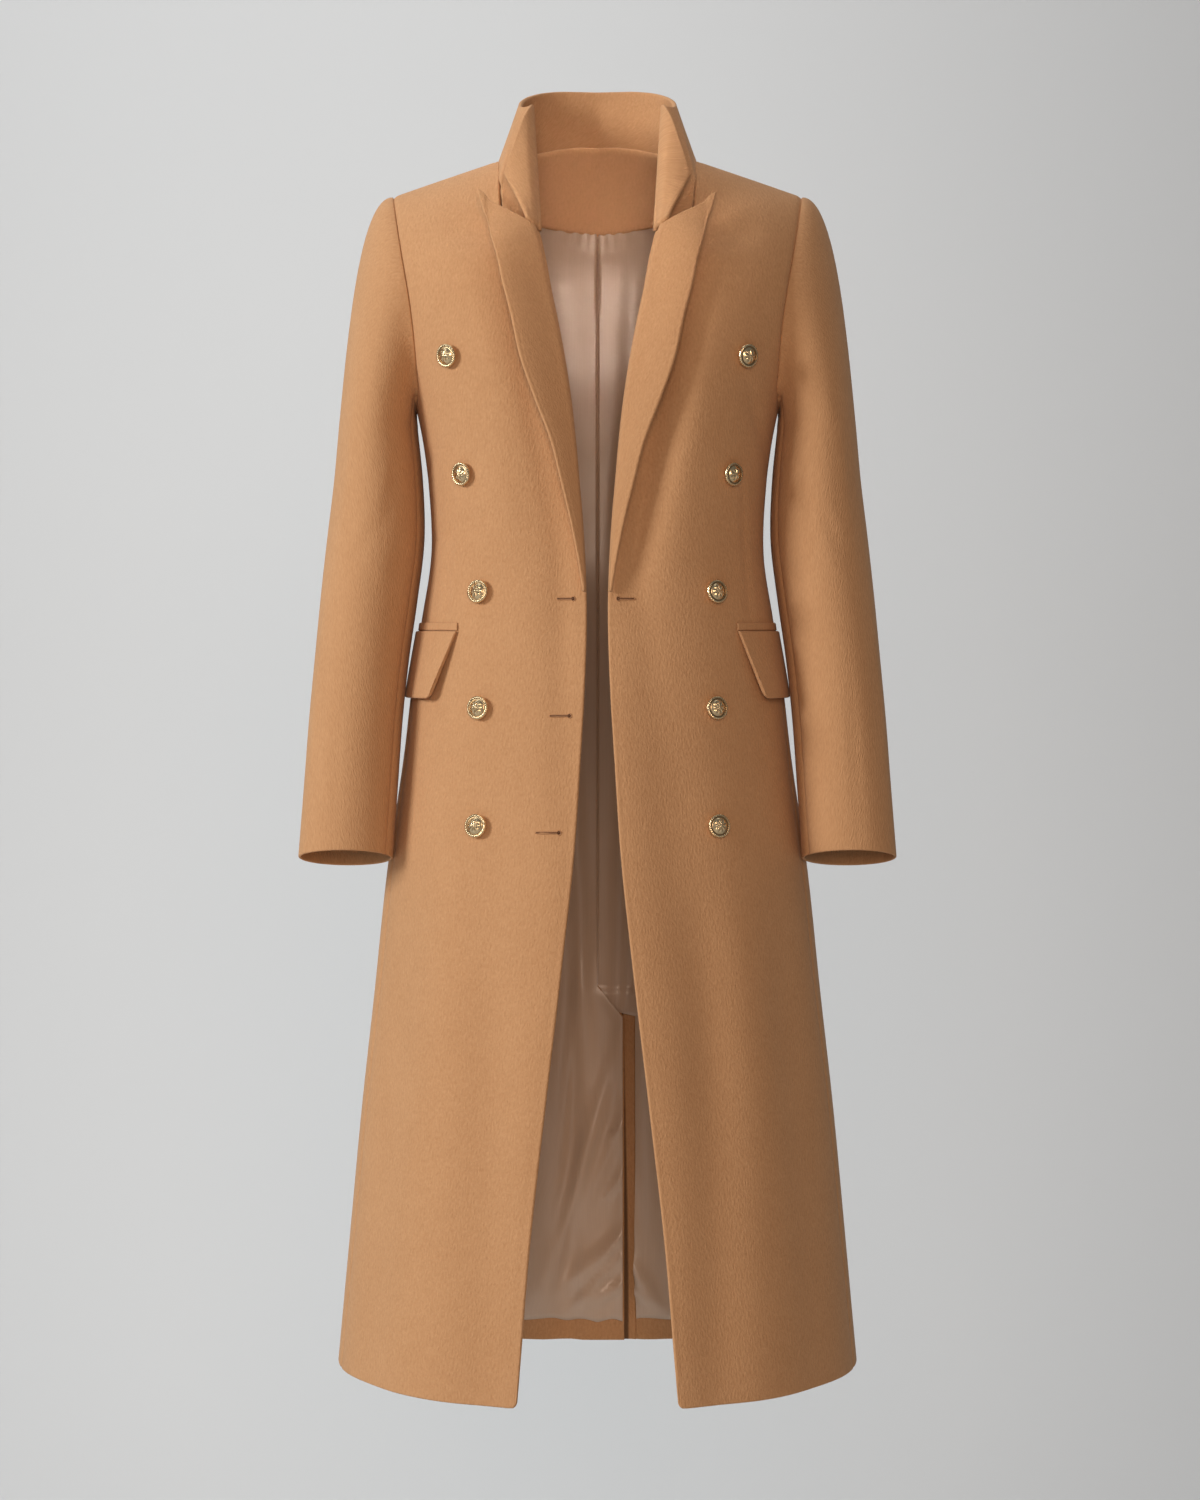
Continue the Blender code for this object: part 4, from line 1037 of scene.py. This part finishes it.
def edge_seam(base, normal, run, edges):
    """A fine sunk line beside the named edges, where the edge's seam is turned."""
    for edge in edges:
        line = EDGE_LINE_DEEP * bell((run[edge] - EDGE_LINE) / EDGE_LINE_WIDE)
        for other in edges:
            if other != edge:
                line = line * ease((run[other] - 0.5 * EDGE_LINE) / EDGE_LINE)
        base = base - normal * line[..., None]
    return base


def collar():
    """The collar as one grid, finest where it turns back at the front and beside its edges."""
    turn = len(COLLAR_TOP["x"]) - 1
    end = turn + len(COLLAR_LEAF["x_low"])
    half = np.concatenate([
        np.linspace(0, turn - 1, 46)[:-1],
        np.linspace(turn - 1, turn + 2, 40)[:-1],
        np.linspace(turn + 2, end - 0.22, 26)[:-1],
        end - np.array([0.22, 0.13, 0.07, 0.03, 0.0]),
    ])
    station = np.concatenate([-half[:0:-1], half])
    up = np.concatenate([np.linspace(COLLAR_FOOT, 0.94, 20), [0.96, 0.975, 0.985, 0.993, 1.0]])
    station, up = np.meshgrid(station, up)
    base = collar_form(station, up)
    near = np.clip(station, -end + 0.01, end - 0.01)
    normal = outward(collar_form, near, np.clip(up, 0.01, 0.99))
    base = base + normal * FACED / 2
    run = edge_run(base)
    base = edge_seam(base, normal, run, ("bottom", "start", "end"))
    wall = finished_wall(base, normal, FACED, ("bottom", "start", "end"), (), run)
    cloth_piece("collar", 1, wall, cloth_uv(base), CAMEL)


collar()

# Lapels: two layers of wool, rolled back from the front edge and peaked above the notch. They
# spring a little off the chest, most at their points, so they cast a shadow on it.
LAPEL = rows(
    "share roll_x roll_z edge_x edge_z",
    (0.00, 0.0550, -0.0795, 0.1050, -0.0525),
    (0.05, 0.0522, -0.0880, 0.1003, -0.0710),
    (0.10, 0.0492, -0.1000, 0.0958, -0.0890),
    (0.17, 0.0452, -0.1200, 0.0905, -0.1110),
    (0.24, 0.0419, -0.1370, 0.0866, -0.1340),
    (0.33, 0.0360, -0.1650, 0.0792, -0.1640),
    (0.44, 0.0291, -0.2020, 0.0708, -0.2020),
    (0.54, 0.0237, -0.2380, 0.0585, -0.2375),
    (0.63, 0.0197, -0.2740, 0.0440, -0.2745),
    (0.72, 0.0165, -0.3100, 0.0345, -0.3090),
    (0.81, 0.0134, -0.3460, 0.0250, -0.3450),
    (0.91, 0.0112, -0.3820, 0.0176, -0.3815),
    (1.00, 0.0102, -0.4100, 0.0135, -0.4095),
)
PEAK_LIFT = 0.0040
PEAK_SHARE = 0.3
EDGE_LIFT = 0.0095
RIGHT_EDGE_LIFT = 0.0135  # the wearer's right lapel stands off further
LAPEL_SMOOTH = 0.03  # its normals are taken over this wide a step, so its edge runs smooth
LAPEL_BELLY = 0.0020  # the lapel bellies out between its roll and its edge
LAPEL_FINE = (0.0, 0.0004, 0.0011, 0.0021, 0.0031, 0.0040, 0.0049, 0.0065)  # lines by its edges
LAPEL_LONG = 0.36


def lapel_lift(across, down, edge_lift):
    """How far the underside stands off the chest: most at the free edge and at the top."""
    lift = 2 * GAP + PEAK_LIFT * ease(1 - down / PEAK_SHARE) + edge_lift * across * (1 - down**4)
    return lift + LAPEL_BELLY * 4 * across * (1 - across) * (1 - down**2)


def lapel(word, side):
    """A grid between roll and edge, lifted off the coat's smooth form, with lines by its edges."""
    fine = np.array(LAPEL_FINE) / LAPEL_LONG
    down = np.concatenate([fine, np.linspace(fine[-1] + 0.008, 1, 72)])[:, None]
    wide = read(LAPEL, "edge_x", down) - read(LAPEL, "roll_x", down)
    most = 0.8 - 0.8 * np.linspace(0, 1, len(LAPEL_FINE))  # where the lapel is narrow
    beside = np.minimum(np.array(LAPEL_FINE[::-1]) / wide, most)
    inner = (1 - beside[:, :1]) * np.linspace(0, 1, 18)[:-1]
    across = np.concatenate([inner, 1 - beside], axis=1)
    down = np.repeat(down, across.shape[1], axis=1)
    roll = np.stack([read(LAPEL, "roll_x", down), read(LAPEL, "roll_z", down)])
    edge = np.stack([read(LAPEL, "edge_x", down), read(LAPEL, "edge_z", down)])
    x, z = roll + (edge - roll) * across
    drop = drop_at(x, z)
    angle = angle_of_x(x, drop, "front")
    base, normal = on_coat(angle, row_of(drop), 0, LAPEL_SMOOTH)
    rise = lapel_lift(across, down, EDGE_LIFT if side > 0 else RIGHT_EDGE_LIFT) + FACED
    base = base + normal * rise[..., None]
    run = edge_run(base)
    base = edge_seam(base, normal, run, ("top", "end"))
    wall = finished_wall(base, normal, FACED, ("top", "end", "start"), (), run)
    uv = cloth_uv(base, base[:, :1, 0])
    cloth_piece(f"{word}_lapel", side, wall, uv, CAMEL)


for word, side in (("left", 1), ("right", -1)):
    lapel(word, side)

# Hip pockets: a jetted welt with a flap hanging from it, both wrapped round the side of the hip.
POCKET_TOP = 0.4310  # drop of the welt's top at the pocket's back end
POCKET_SLANT = 0.0050  # and its front end is this much lower
POCKET_LONG = 0.13
POCKET_STEP = 0.004
FLAP_STEP = 0.003
WELT_ROWS = 9
WELT_HIGH = 0.0075
FLAP_HIGH = 0.0625
FLAP_FRONT_TOP = 0.1268
FLAP_FRONT_LOW = 0.1445
POCKET_END = math.radians(101)
WELT_THICK = 0.0015
FLAP_THICK = 0.0035
FLAP_LIFT = 0.0018
CORNER_LIFT = 0.0055  # its front corner stands off this much more
CORNER_SHARE = 0.45
FLAP_CORNER = 0.009  # radius of the flap's lower front corner
FLAP_SHEET = {"flat": (0.145, 0.066), "area": 0.0083, "held": "folded"}
WELT_SHEET = {"flat": (0.131, 0.0105), "area": 0.0010, "held": "folded"}


def welt_lift(across, down):
    return 1.5 * GAP + 0 * down


def flap_lift(across, down):
    """The flap hangs from the welt and stands a little off the coat at its front corner."""
    return 1.5 * GAP + down * (FLAP_LIFT + CORNER_LIFT * ease(1 - across / CORNER_SHARE))


def pocket_strip(word, part, side, top, low, x_low, thick, lift, sheet):
    """A strip on the coat's form from a front edge to the pocket's end, lifted by a rule."""
    flap = part == "flap"
    lines = spaced(low - top, FLAP_STEP) if flap else np.linspace(0, 1, WELT_ROWS)
    across, down = np.meshgrid(spaced(POCKET_LONG, POCKET_STEP), lines)
    drop = top + (low - top) * down + POCKET_SLANT * (1 - across)
    if flap:
        short = FLAP_CORNER - np.minimum(across * POCKET_LONG, FLAP_CORNER)
        drop = drop - (FLAP_CORNER - np.sqrt(FLAP_CORNER**2 - short**2)) * down
    start = angle_of_x(FLAP_FRONT_TOP + (x_low - FLAP_FRONT_TOP) * down, drop, "front")
    angle = start + (POCKET_END - start) * across
    base, normal = on_coat(angle, row_of(drop), side)
    base = base + normal * (lift(across, down) + thick)[..., None]
    run = edge_run(base)
    if flap:
        base = edge_seam(base, normal, run, ("start", "bottom"))
    wall = finished_wall(base, normal, thick, ("top", "bottom", "start", "end"), (), run)
    cloth_piece(f"{word}_{part}", side, wall, cloth_uv(base), CAMEL)


WELT_LOW = POCKET_TOP + WELT_HIGH
FLAP_TOP = WELT_LOW + 2 * SEAM
STRIPS = {  # top and lower drop, front edge's lower x, thickness, lift, sheet
    "welt": (POCKET_TOP, WELT_LOW, FLAP_FRONT_TOP, WELT_THICK, welt_lift, WELT_SHEET),
    "flap": (FLAP_TOP, WELT_LOW + FLAP_HIGH, FLAP_FRONT_LOW, FLAP_THICK, flap_lift, FLAP_SHEET),
}
for word, side in (("left", 1), ("right", -1)):
    for part, strip in STRIPS.items():
        pocket_strip(word, part, side, *strip)

# Back neck facing: a shaped piece of wool inside the neck, from the collar's seam down to the
# lining. It is cut in one with the fronts' facings on a real coat.
NECK_FACING_LOW = 0.049  # its lower edge's depth at the centre
NECK_FACING_END = 0.105  # half-width of its lower edge
NECK_FACING_RISE = 0.0165  # and how much its ends are higher
NECK_FACING_TOP = 0.0905  # half-width of its top edge
NECK_FACING_LAP = 0.0062  # how far its top stands up inside the collar's foot
NECK_FACING_LAP_END = 0.092
LINING_EASE = 0.0014


def facing_low(x):
    """Drop of the neck facing's lower edge, which the lining meets."""
    share = np.minimum(np.abs(x) / NECK_FACING_END, 1)
    return drop_at(NECK_FACING_END * share, NECK_FACING_RISE * share**1.3 - NECK_FACING_LOW)


def neck_facing():
    """A grid between the back neckline and the lower edge, moved in by the cloth before it."""
    across, down = np.meshgrid(np.linspace(-1, 1, 61), np.linspace(0, 1, 22))
    top_x = NECK_FACING_TOP * np.sin(across * math.pi / 2)
    top = drop_at(np.abs(top_x), np.interp(np.abs(top_x), BACK_NECK["x"], BACK_NECK["z"]))
    low_x = NECK_FACING_END * across
    x = top_x + (low_x - top_x) * down
    drop = top + (facing_low(low_x) - top) * down
    angle = angle_of_x(x, drop, "back")
    base, normal = on_coat(angle, row_of(drop), 1)
    base = base - normal * (WOOL + SATIN + LINING_EASE + 4 * GAP)
    lap = NECK_FACING_LAP * (1 - down) ** 2 * ease(4 * (1 - np.abs(top_x) / NECK_FACING_LAP_END))
    base[..., 2] += lap
    wall = finished_wall(base, normal, WOOL, ("bottom",))
    uv = cloth_uv(base)
    # The facing's paler wool is painted light, standing in for light inside the neck.
    cloth_piece("back_neck_facing", 1, wall, uv, PAINTED_LIGHT_CAMEL)


neck_facing()

# Back lining: taupe satin, one length each side of a pleat down the centre. It is gathered into
# the neck facing with small tucks, hangs a little loose, and its hem is turned above the coat's.
LINING_HEM = 1.119  # drop of its lower edge
LINING_TUCK = 0.004  # its top edge goes this far up behind the neck facing
LINING_LAP = 0.0015  # and its vent edge past the underlap's
LINING_EASE_DROPS = (0.155, 0.200)  # above this it lies looser
LINING_LEVEL = 0.155  # rows are level below this drop, and bend to the top edge above it
LINING_WIDE = 0.26  # a mean width, for the columns' steps
LINING_STEP = 0.0050
SLANT_COVER = 0.7  # the lining covers the vent facing's slanted top for this share of the slant
UNDERLAP_CURL = 0.0035  # the underlap's lined edge curls in by this much
PLEAT_DEEP = 0.0060  # the centre pleat's fold stands this far off the back
PLEAT_WIDE = 0.0400
PLEAT_END = 0.10  # and it closes over this length above the vent
PLEAT_OTHER = 0.85  # the other side's fold stands off by this share of it
PLEAT_SLIT = 0.0007  # the dark slit between them is this wide on each side
PLEAT_SLIT_WIDER = 0.0007  # and by this much more below the neck facing
TUCKS = 11  # small tucks in each half's top edge
TUCK_DEEP = 0.0022
TUCK_RUN = 0.012
DRAG_GAIN = 3.6  # the drag folds are this many times their tables' depth
DRAG_REST = 0.0012
LINING_HEM_WAVE = rows(
    "x rise",
    (0.000, 0.000),
    (0.015, 0.0035),
    (0.030, 0.0010),
    (0.045, 0.0040),
    (0.070, 0.0020),
    (0.110, 0.0030),
    (0.180, 0.0010),
    (0.260, 0.0000),
)
# Drag folds of the satin: middle as an angle and a drop, slant, half-length and half-width.
LINING_CREASES = rows(
    "side angle drop slant length width depth",
    (-1, 187, 1.045, -52, 0.030, 0.006, 0.0020),
    (-1, 184, 1.070, -58, 0.045, 0.007, 0.0024),
    (-1, 188, 1.090, -64, 0.024, 0.005, 0.0016),
    (-1, 176, 1.060, -60, 0.060, 0.010, 0.0020),
    (-1, 178, 1.095, -70, 0.050, 0.007, 0.0018),
    (-1, 188, 0.985, -50, 0.024, 0.005, 0.0014),
    (-1, 189, 0.930, -60, 0.018, 0.004, 0.0012),
    (-1, 184, 0.960, -35, 0.060, 0.009, 0.0016),
    (-1, 172, 0.960, -24, 0.090, 0.011, 0.0016),
    (-1, 165, 1.000, -28, 0.120, 0.013, 0.0018),
    (-1, 163, 0.880, -10, 0.120, 0.012, 0.0014),
    (-1, 170, 0.700, 4, 0.180, 0.014, 0.0010),
    (-1, 162, 0.420, 3, 0.160, 0.014, 0.0010),
    (1, 160, 1.060, -40, 0.050, 0.008, 0.0018),
    (1, 158, 1.090, -60, 0.040, 0.006, 0.0014),
    (1, 163, 0.980, -14, 0.100, 0.010, 0.0014),
    (1, 168, 0.700, 2, 0.180, 0.014, 0.0010),
    (1, 166, 0.260, 6, 0.110, 0.012, 0.0012),
    (1, 162, 0.460, 3, 0.180, 0.014, 0.0010),
)


def lining_top(share, side):
    """Drop of the lining's top edge in each column, found by repeated substitution."""
    drop = np.full(share.shape, NECK_FACING_LOW)
    for _ in range(12):
        start = centre_angle(drop, side)
        angle = across_panel(start, share, drop, "back")
        drop = facing_low(coat(angle, row_of(drop), side)[..., 0]) - LINING_TUCK
    return drop


SATIN_SURFACE = {"Roughness": 0.34, "Specular IOR Level": 0.7, "Sheen Weight": 0.10}


def satin_material(name, light, dark):
    """Taupe satin: faint streaks along the cloth's length, and a smooth sheen."""
    made = new_material(name, SATIN_SURFACE)
    tree = made.node_tree
    place = add(tree, "UVMap", {}, uv_map="cloth").outputs["UV"]
    stretch = add(tree, "Mapping", {"Scale": (900, 14, 1), "Vector": place}).outputs["Vector"]
    streaks = add(tree, "TexNoise", {"Scale": 1.0, "Detail": 3.0, "Vector": stretch}).outputs["Fac"]
    tones = {"A": (*dark, 1), "B": (*light, 1), "Factor": streaks}
    colour = add(tree, "Mix", tones, data_type="RGBA").outputs["Result"]
    wrinkle = add(tree, "TexNoise", {"Scale": 30.0, "Detail": 3.0, "Vector": place}).outputs["Fac"]
    bumps = {"Strength": 0.25, "Distance": 0.0025, "Height": wrinkle}
    normal = add(tree, "Bump", bumps).outputs["Normal"]
    put(tree, tree.nodes["Principled BSDF"], {"Base Color": colour, "Normal": normal})
    return made


SATIN_LIGHT = (0.60, 0.445, 0.325)
SATIN_DARK = (0.52, 0.375, 0.265)
TAUPE_SATIN = satin_material("taupe_lining_satin", SATIN_LIGHT, SATIN_DARK)


def back_lining(word, side):
    """Half the lining: the back's own columns, moved in, with pleat, tucks and drag folds."""
    share = spaced(LINING_WIDE, LINING_STEP)
    top = lining_top(share, side)
    upper = top + (LINING_LEVEL - top) * np.linspace(0, 1, 24)[:-1, None]
    low = np.linspace(LINING_LEVEL, VENT_TOP - 0.002, 110)
    slant = np.linspace(VENT_TOP, VENT_TOP + VENT_SLANT, 12)
    rest = np.linspace(VENT_TOP + VENT_SLANT, LINING_HEM, 58)[1:]
    down = np.concatenate([low, slant, rest])
    drop = np.concatenate([upper, np.repeat(down[:, None], len(share), axis=1)])
    angle = across_panel(centre_angle(drop, side), share, drop, "back")
    past = np.clip((drop[:, :1] - VENT_TOP) / VENT_SLANT, 0, 1)
    reach = read(BODY, "back", drop)
    if side < 0:
        angle = angle - past * LINING_LAP / reach * (share < 0.02)
    else:
        wide = (VENT_FACING_WIDE + 0.001) / reach
        most = (math.pi - angle).max(axis=1, keepdims=True)
        pushed = math.pi - wide - share * 0.6 * (most - wide)
        cut = np.clip((past - SLANT_COVER) / (1 - SLANT_COVER), 0, 1)
        angle = angle + (np.minimum(angle, pushed) - angle) * cut * (share < 0.35)
        angle = np.minimum.accumulate(angle, axis=1)
    level, normal = on_coat(angle, row_of(drop), side)
    wave = read(LINING_HEM_WAVE, "rise", np.abs(level[..., 0]))
    hem = ease((drop - (LINING_HEM - 0.06)) / 0.06) * wave
    base = coat(angle, row_of(drop - hem), side)
    above = (LINING_EASE_DROPS[1] - drop) / (LINING_EASE_DROPS[1] - LINING_EASE_DROPS[0])
    near = WOOL + 2 * GAP + LINING_EASE * ease(above)
    beside = share * read(BODY, "half_width", drop)
    if side < 0:
        near = near + underlap_depth(angle, drop)
        near = near + UNDERLAP_CURL * past * bell(beside / 0.010)
    else:
        over = ease(4 * (past - cut)) * ease((VENT_FACING_WIDE * 1.6 - beside) / 0.01)
        near = near + 2 * FACING * over
    off = (math.pi - angle) * reach
    slit = PLEAT_SLIT + PLEAT_SLIT_WIDER * bell((drop - 0.09) / 0.06)
    pleat = PLEAT_DEEP * bell(off / PLEAT_WIDE) * (1 - np.exp(-((off / slit) ** 4)))
    pleat = pleat * (0.35 + 0.65 * ease((drop - top) / 0.02))  # held at the neck facing
    pleat = pleat * (0.45 + 0.55 * ease((0.34 - drop) / 0.2))  # shallower lower down
    pleat = pleat * ease((VENT_TOP - drop) / PLEAT_END)
    near = near + pleat * (1 if side < 0 else PLEAT_OTHER)
    inside = ease((drop - top) / 0.006) * bell((drop - top) / TUCK_RUN)
    tucks = TUCK_DEEP * (0.5 + 0.5 * np.sin(share * TUCKS * 2 * math.pi + 3 * np.sin(share * 9)))
    loose = ease((drop - top) / 0.05) * ease((LINING_HEM + 0.02 - drop) / 0.05)
    folds = creased(LINING_CREASES, side, angle * CREASE_RADIUS, drop)
    drag = DRAG_GAIN * np.maximum(folds, -DRAG_REST) * loose
    near = near + tucks * inside + np.maximum(drag + DRAG_REST * loose, 0)
    base = base - normal * near[..., None]
    wall = finished_wall(base, normal, SATIN, ("bottom",))
    uv = cloth_uv(base, base[:, :1, 0])
    cloth_piece(f"{word}_back_lining", side, wall, uv, TAUPE_SATIN)


for word, side in (("left", 1), ("right", -1)):
    back_lining(word, side)

# Buttons: cast domed metal with a roped rim and a raised rosette, sewn on by a short shank down
# both fronts.
BUTTONS = rows(
    "x z",
    (0.1342, -0.1945),
    (0.1210, -0.3010),
    (0.1063, -0.4087),
    (0.1061, -0.5141),
    (0.1077, -0.6205),
)
BUTTON_SECTION = rows(
    "radius height",
    (0.0000, 0.0003),
    (0.0032, 0.0003),
    (0.0032, 0.0024),
    (0.0090, 0.0027),
    (0.0103, 0.0034),
    (0.0108, 0.0046),
    (0.0103, 0.0057),
    (0.0094, 0.0062),
    (0.0086, 0.0060),
    (0.0081, 0.0056),
    (0.0074, 0.0058),
    (0.0060, 0.0070),
    (0.0042, 0.0079),
    (0.0022, 0.0084),
    (0.0000, 0.0086),
)
ROPE_TURNS = 30
ROPE_DEEP = 0.00032
PETALS = 8
PETAL_DEEP = 0.0008


GOLD_RAISED = (0.95, 0.76, 0.46, 1)
GOLD_HOLLOW = (0.24, 0.13, 0.05, 1)


def gold_material(name):
    """Polished gold-coloured brass, darker and rougher in its hollows."""
    made = new_material(name, {"Metallic": 1.0})
    tree = made.node_tree
    hollow = add(tree, "Attribute", {}, attribute_name="hollow").outputs["Fac"]
    tones = {"A": GOLD_RAISED, "B": GOLD_HOLLOW, "Factor": hollow}
    colour = add(tree, "Mix", tones, data_type="RGBA").outputs["Result"]
    rough = add(tree, "MapRange", {"To Min": 0.20, "To Max": 0.42, "Value": hollow})
    surface = {"Base Color": colour, "Roughness": rough.outputs["Result"]}
    put(tree, tree.nodes["Principled BSDF"], surface)
    return made


def ring_quads(rings, sides):
    """Numbers of the points on rings, of the next ones round, and the quads between the rings."""
    number = np.arange(rings * sides).reshape(rings, sides)
    after = np.roll(number, -1, axis=1)
    quads = np.stack([number[:-1], number[1:], after[1:], after[:-1]], axis=-1)
    return number, after, quads.reshape(-1, 4)


GOLD = gold_material("gold_button_metal")


def button(word, side, number, x, z):
    """A section spun round the button's axis, with a roped rim and petals as waves round it."""
    drop = drop_at(x, z)
    angle, row = np.array([angle_of_x(x, drop, "front"), row_of(drop)])
    centre, axis = (mirrored(found, side) for found in on_coat(angle, row, side))
    first = np.cross(axis, [0.0, 0.0, 1.0])
    first = first / np.linalg.norm(first)
    second = np.cross(axis, first)
    sides = ROPE_TURNS * 4
    turn = np.arange(sides) * 2 * math.pi / sides
    along = np.linspace(0, len(BUTTON_SECTION["radius"]) - 1, 64)
    whole = np.arange(len(BUTTON_SECTION["radius"]))
    radius = np.interp(along, whole, BUTTON_SECTION["radius"])[:, None]
    high = np.interp(along, whole, BUTTON_SECTION["height"])[:, None]
    rim = bell((radius - 0.0100) / 0.0009) * (high > 0.0040)
    rope = np.sin(turn * ROPE_TURNS + radius * 2200)
    dome = (high > 0.0055) * (radius < 0.0078)
    petals = np.cos(turn * PETALS) * np.sin(np.clip(radius / 0.0070, 0, 1) * math.pi) ** 2
    heart = 0.0005 * bell(radius / 0.0014)
    lift = ROPE_DEEP * rim * rope + dome * (PETAL_DEEP * 0.5 * petals + heart)
    valley = bell((radius - 0.0083) / 0.0007) * (high > 0.0050)
    hollow = np.clip(0.5 * rim * (1 - rope) * 0.6 + 0.4 * dome * (1 - petals) * 0.8 + valley, 0, 1)
    hollow = np.broadcast_to(hollow * np.ones_like(turn), (len(along), sides))
    spoke = np.cos(turn)[:, None] * first + np.sin(turn)[:, None] * second
    points = centre + radius[..., None] * spoke + (high + lift)[..., None] * axis
    points = points[1:-1]
    low, top = centre + axis * high[0], centre + axis * (high[-1] + 0.0005)
    ring, after, quads = ring_quads(len(points), sides)
    foot = np.stack([ring[0], after[0], np.full(sides, ring.size)], axis=-1)
    crown = np.stack([after[-1], ring[-1], np.full(sides, ring.size + 1)], axis=-1)
    faces = quads.tolist() + foot.tolist() + crown.tolist()
    vertices = np.concatenate([points.reshape(-1, 3), [low, top]])
    a, b, c = (vertices[quads[:, k]] for k in (0, 1, 3))
    if np.einsum("ij,ij->", np.cross(b - a, c - a), a - (centre + axis * 0.004)) < 0:
        faces = [face[::-1] for face in faces]
    name = f"{word}_button_{number}"
    piece = new_object(f"{name}_gold", vertices.tolist(), faces, GOLD)
    values = np.concatenate([hollow[1:-1].ravel(), [1.0, 0.0]])
    piece.data.attributes.new("hollow", "FLOAT", "POINT").data.foreach_set("value", values)
    hand_over(piece, name)


for word, side in (("left", 1), ("right", -1)):
    for number, (x, z) in enumerate(zip(BUTTONS["x"], BUTTONS["z"]), 1):
        button(word, side, number, x, z)

# Buttonholes: keyhole slits through the fronts, sewn over with thread. Three show on the
# wearer's right front, and the left one has its waist buttonhole.
BUTTONHOLES = rows(
    "side inner_x outer_x z",
    (-1, 0.0205, 0.0365, -0.4160),
    (-1, 0.0240, 0.0425, -0.5215),
    (-1, 0.0330, 0.0540, -0.6260),
    (1, 0.0175, 0.0340, -0.4160),
)
HOLE_EYE = 0.0015  # radius of the keyhole's round end, nearest the edge
HOLE_HALF = 0.0004  # half-width of the rest of its slit
THREAD = 0.0007  # the sewn thread round it is this wide each side
THREAD_HIGH = 0.0006
THREAD_WOOL = plain_material("buttonhole_thread", (0.45, 0.225, 0.100), 0.6)
# Painted shade: the slit is a flat dark sheet standing in for the shade inside the cut.
SLIT_PAINTED_SHADE = plain_material("buttonhole_slit_painted_shade", (0.20, 0.090, 0.040), 0.9)


def buttonhole(number, side, inner_x, outer_x, z):
    """A ridge of thread round a keyhole outline, and within it a flat dark sheet, painted shade for
    the slit.

    The outline's half-width is the eye's circle near the edge and the slit's width past it.
    """
    turn = np.linspace(0, 2 * math.pi, 97)[:-1]
    reach = (1 - np.cos(turn)) / 2 * (outer_x - inner_x)
    eye = np.sqrt(np.clip(HOLE_EYE**2 - (reach - HOLE_EYE) ** 2, 0, None))
    tail = HOLE_HALF * np.sqrt(np.clip((outer_x - inner_x - reach) / HOLE_HALF, 0, 1))
    half = np.where(reach < HOLE_EYE, eye, np.maximum(eye, tail)) * np.sign(np.sin(turn) + 1e-9)
    away = np.array([0.0, 0.35, 0.75, 1.15, 1.5, 1.5])[:, None] * THREAD
    high = np.array([0.25, 1.0, 1.3, 1.0, 0.3, -0.6])[:, None] * THREAD_HIGH
    tip = np.cos(turn) * np.abs(np.cos(turn)) ** 3
    x = inner_x + reach - away * tip
    up = half + away * np.sign(np.sin(turn) + 1e-9) * np.sqrt(1 - np.minimum(tip**2, 1))
    drop = drop_at(x, z + up)
    angle = angle_of_x(x, drop, "front")
    base, normal = on_coat(angle, row_of(drop), side)
    stitched = THREAD_HIGH * 0.35 * np.sin(turn * 60) * (high > 0.0003)
    points = mirrored(base + normal * (high + stitched)[..., None], side).reshape(-1, 3)
    ring, _, quads = ring_quads(len(high), len(turn))
    order = -1 if side > 0 else 1
    faces = quads[:, ::order].tolist() + [ring[0, ::-order].tolist()]
    name = f"buttonhole_{number}"
    piece = new_object(name, points.tolist(), faces, THREAD_WOOL, SLIT_PAINTED_SHADE)
    piece.data.polygons[len(quads)].material_index = 1
    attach(piece, "root")


for number, (side, inner_x, outer_x, z) in enumerate(zip(*BUTTONHOLES.values()), 1):
    buttonhole(number, int(side), inner_x, outer_x, z)
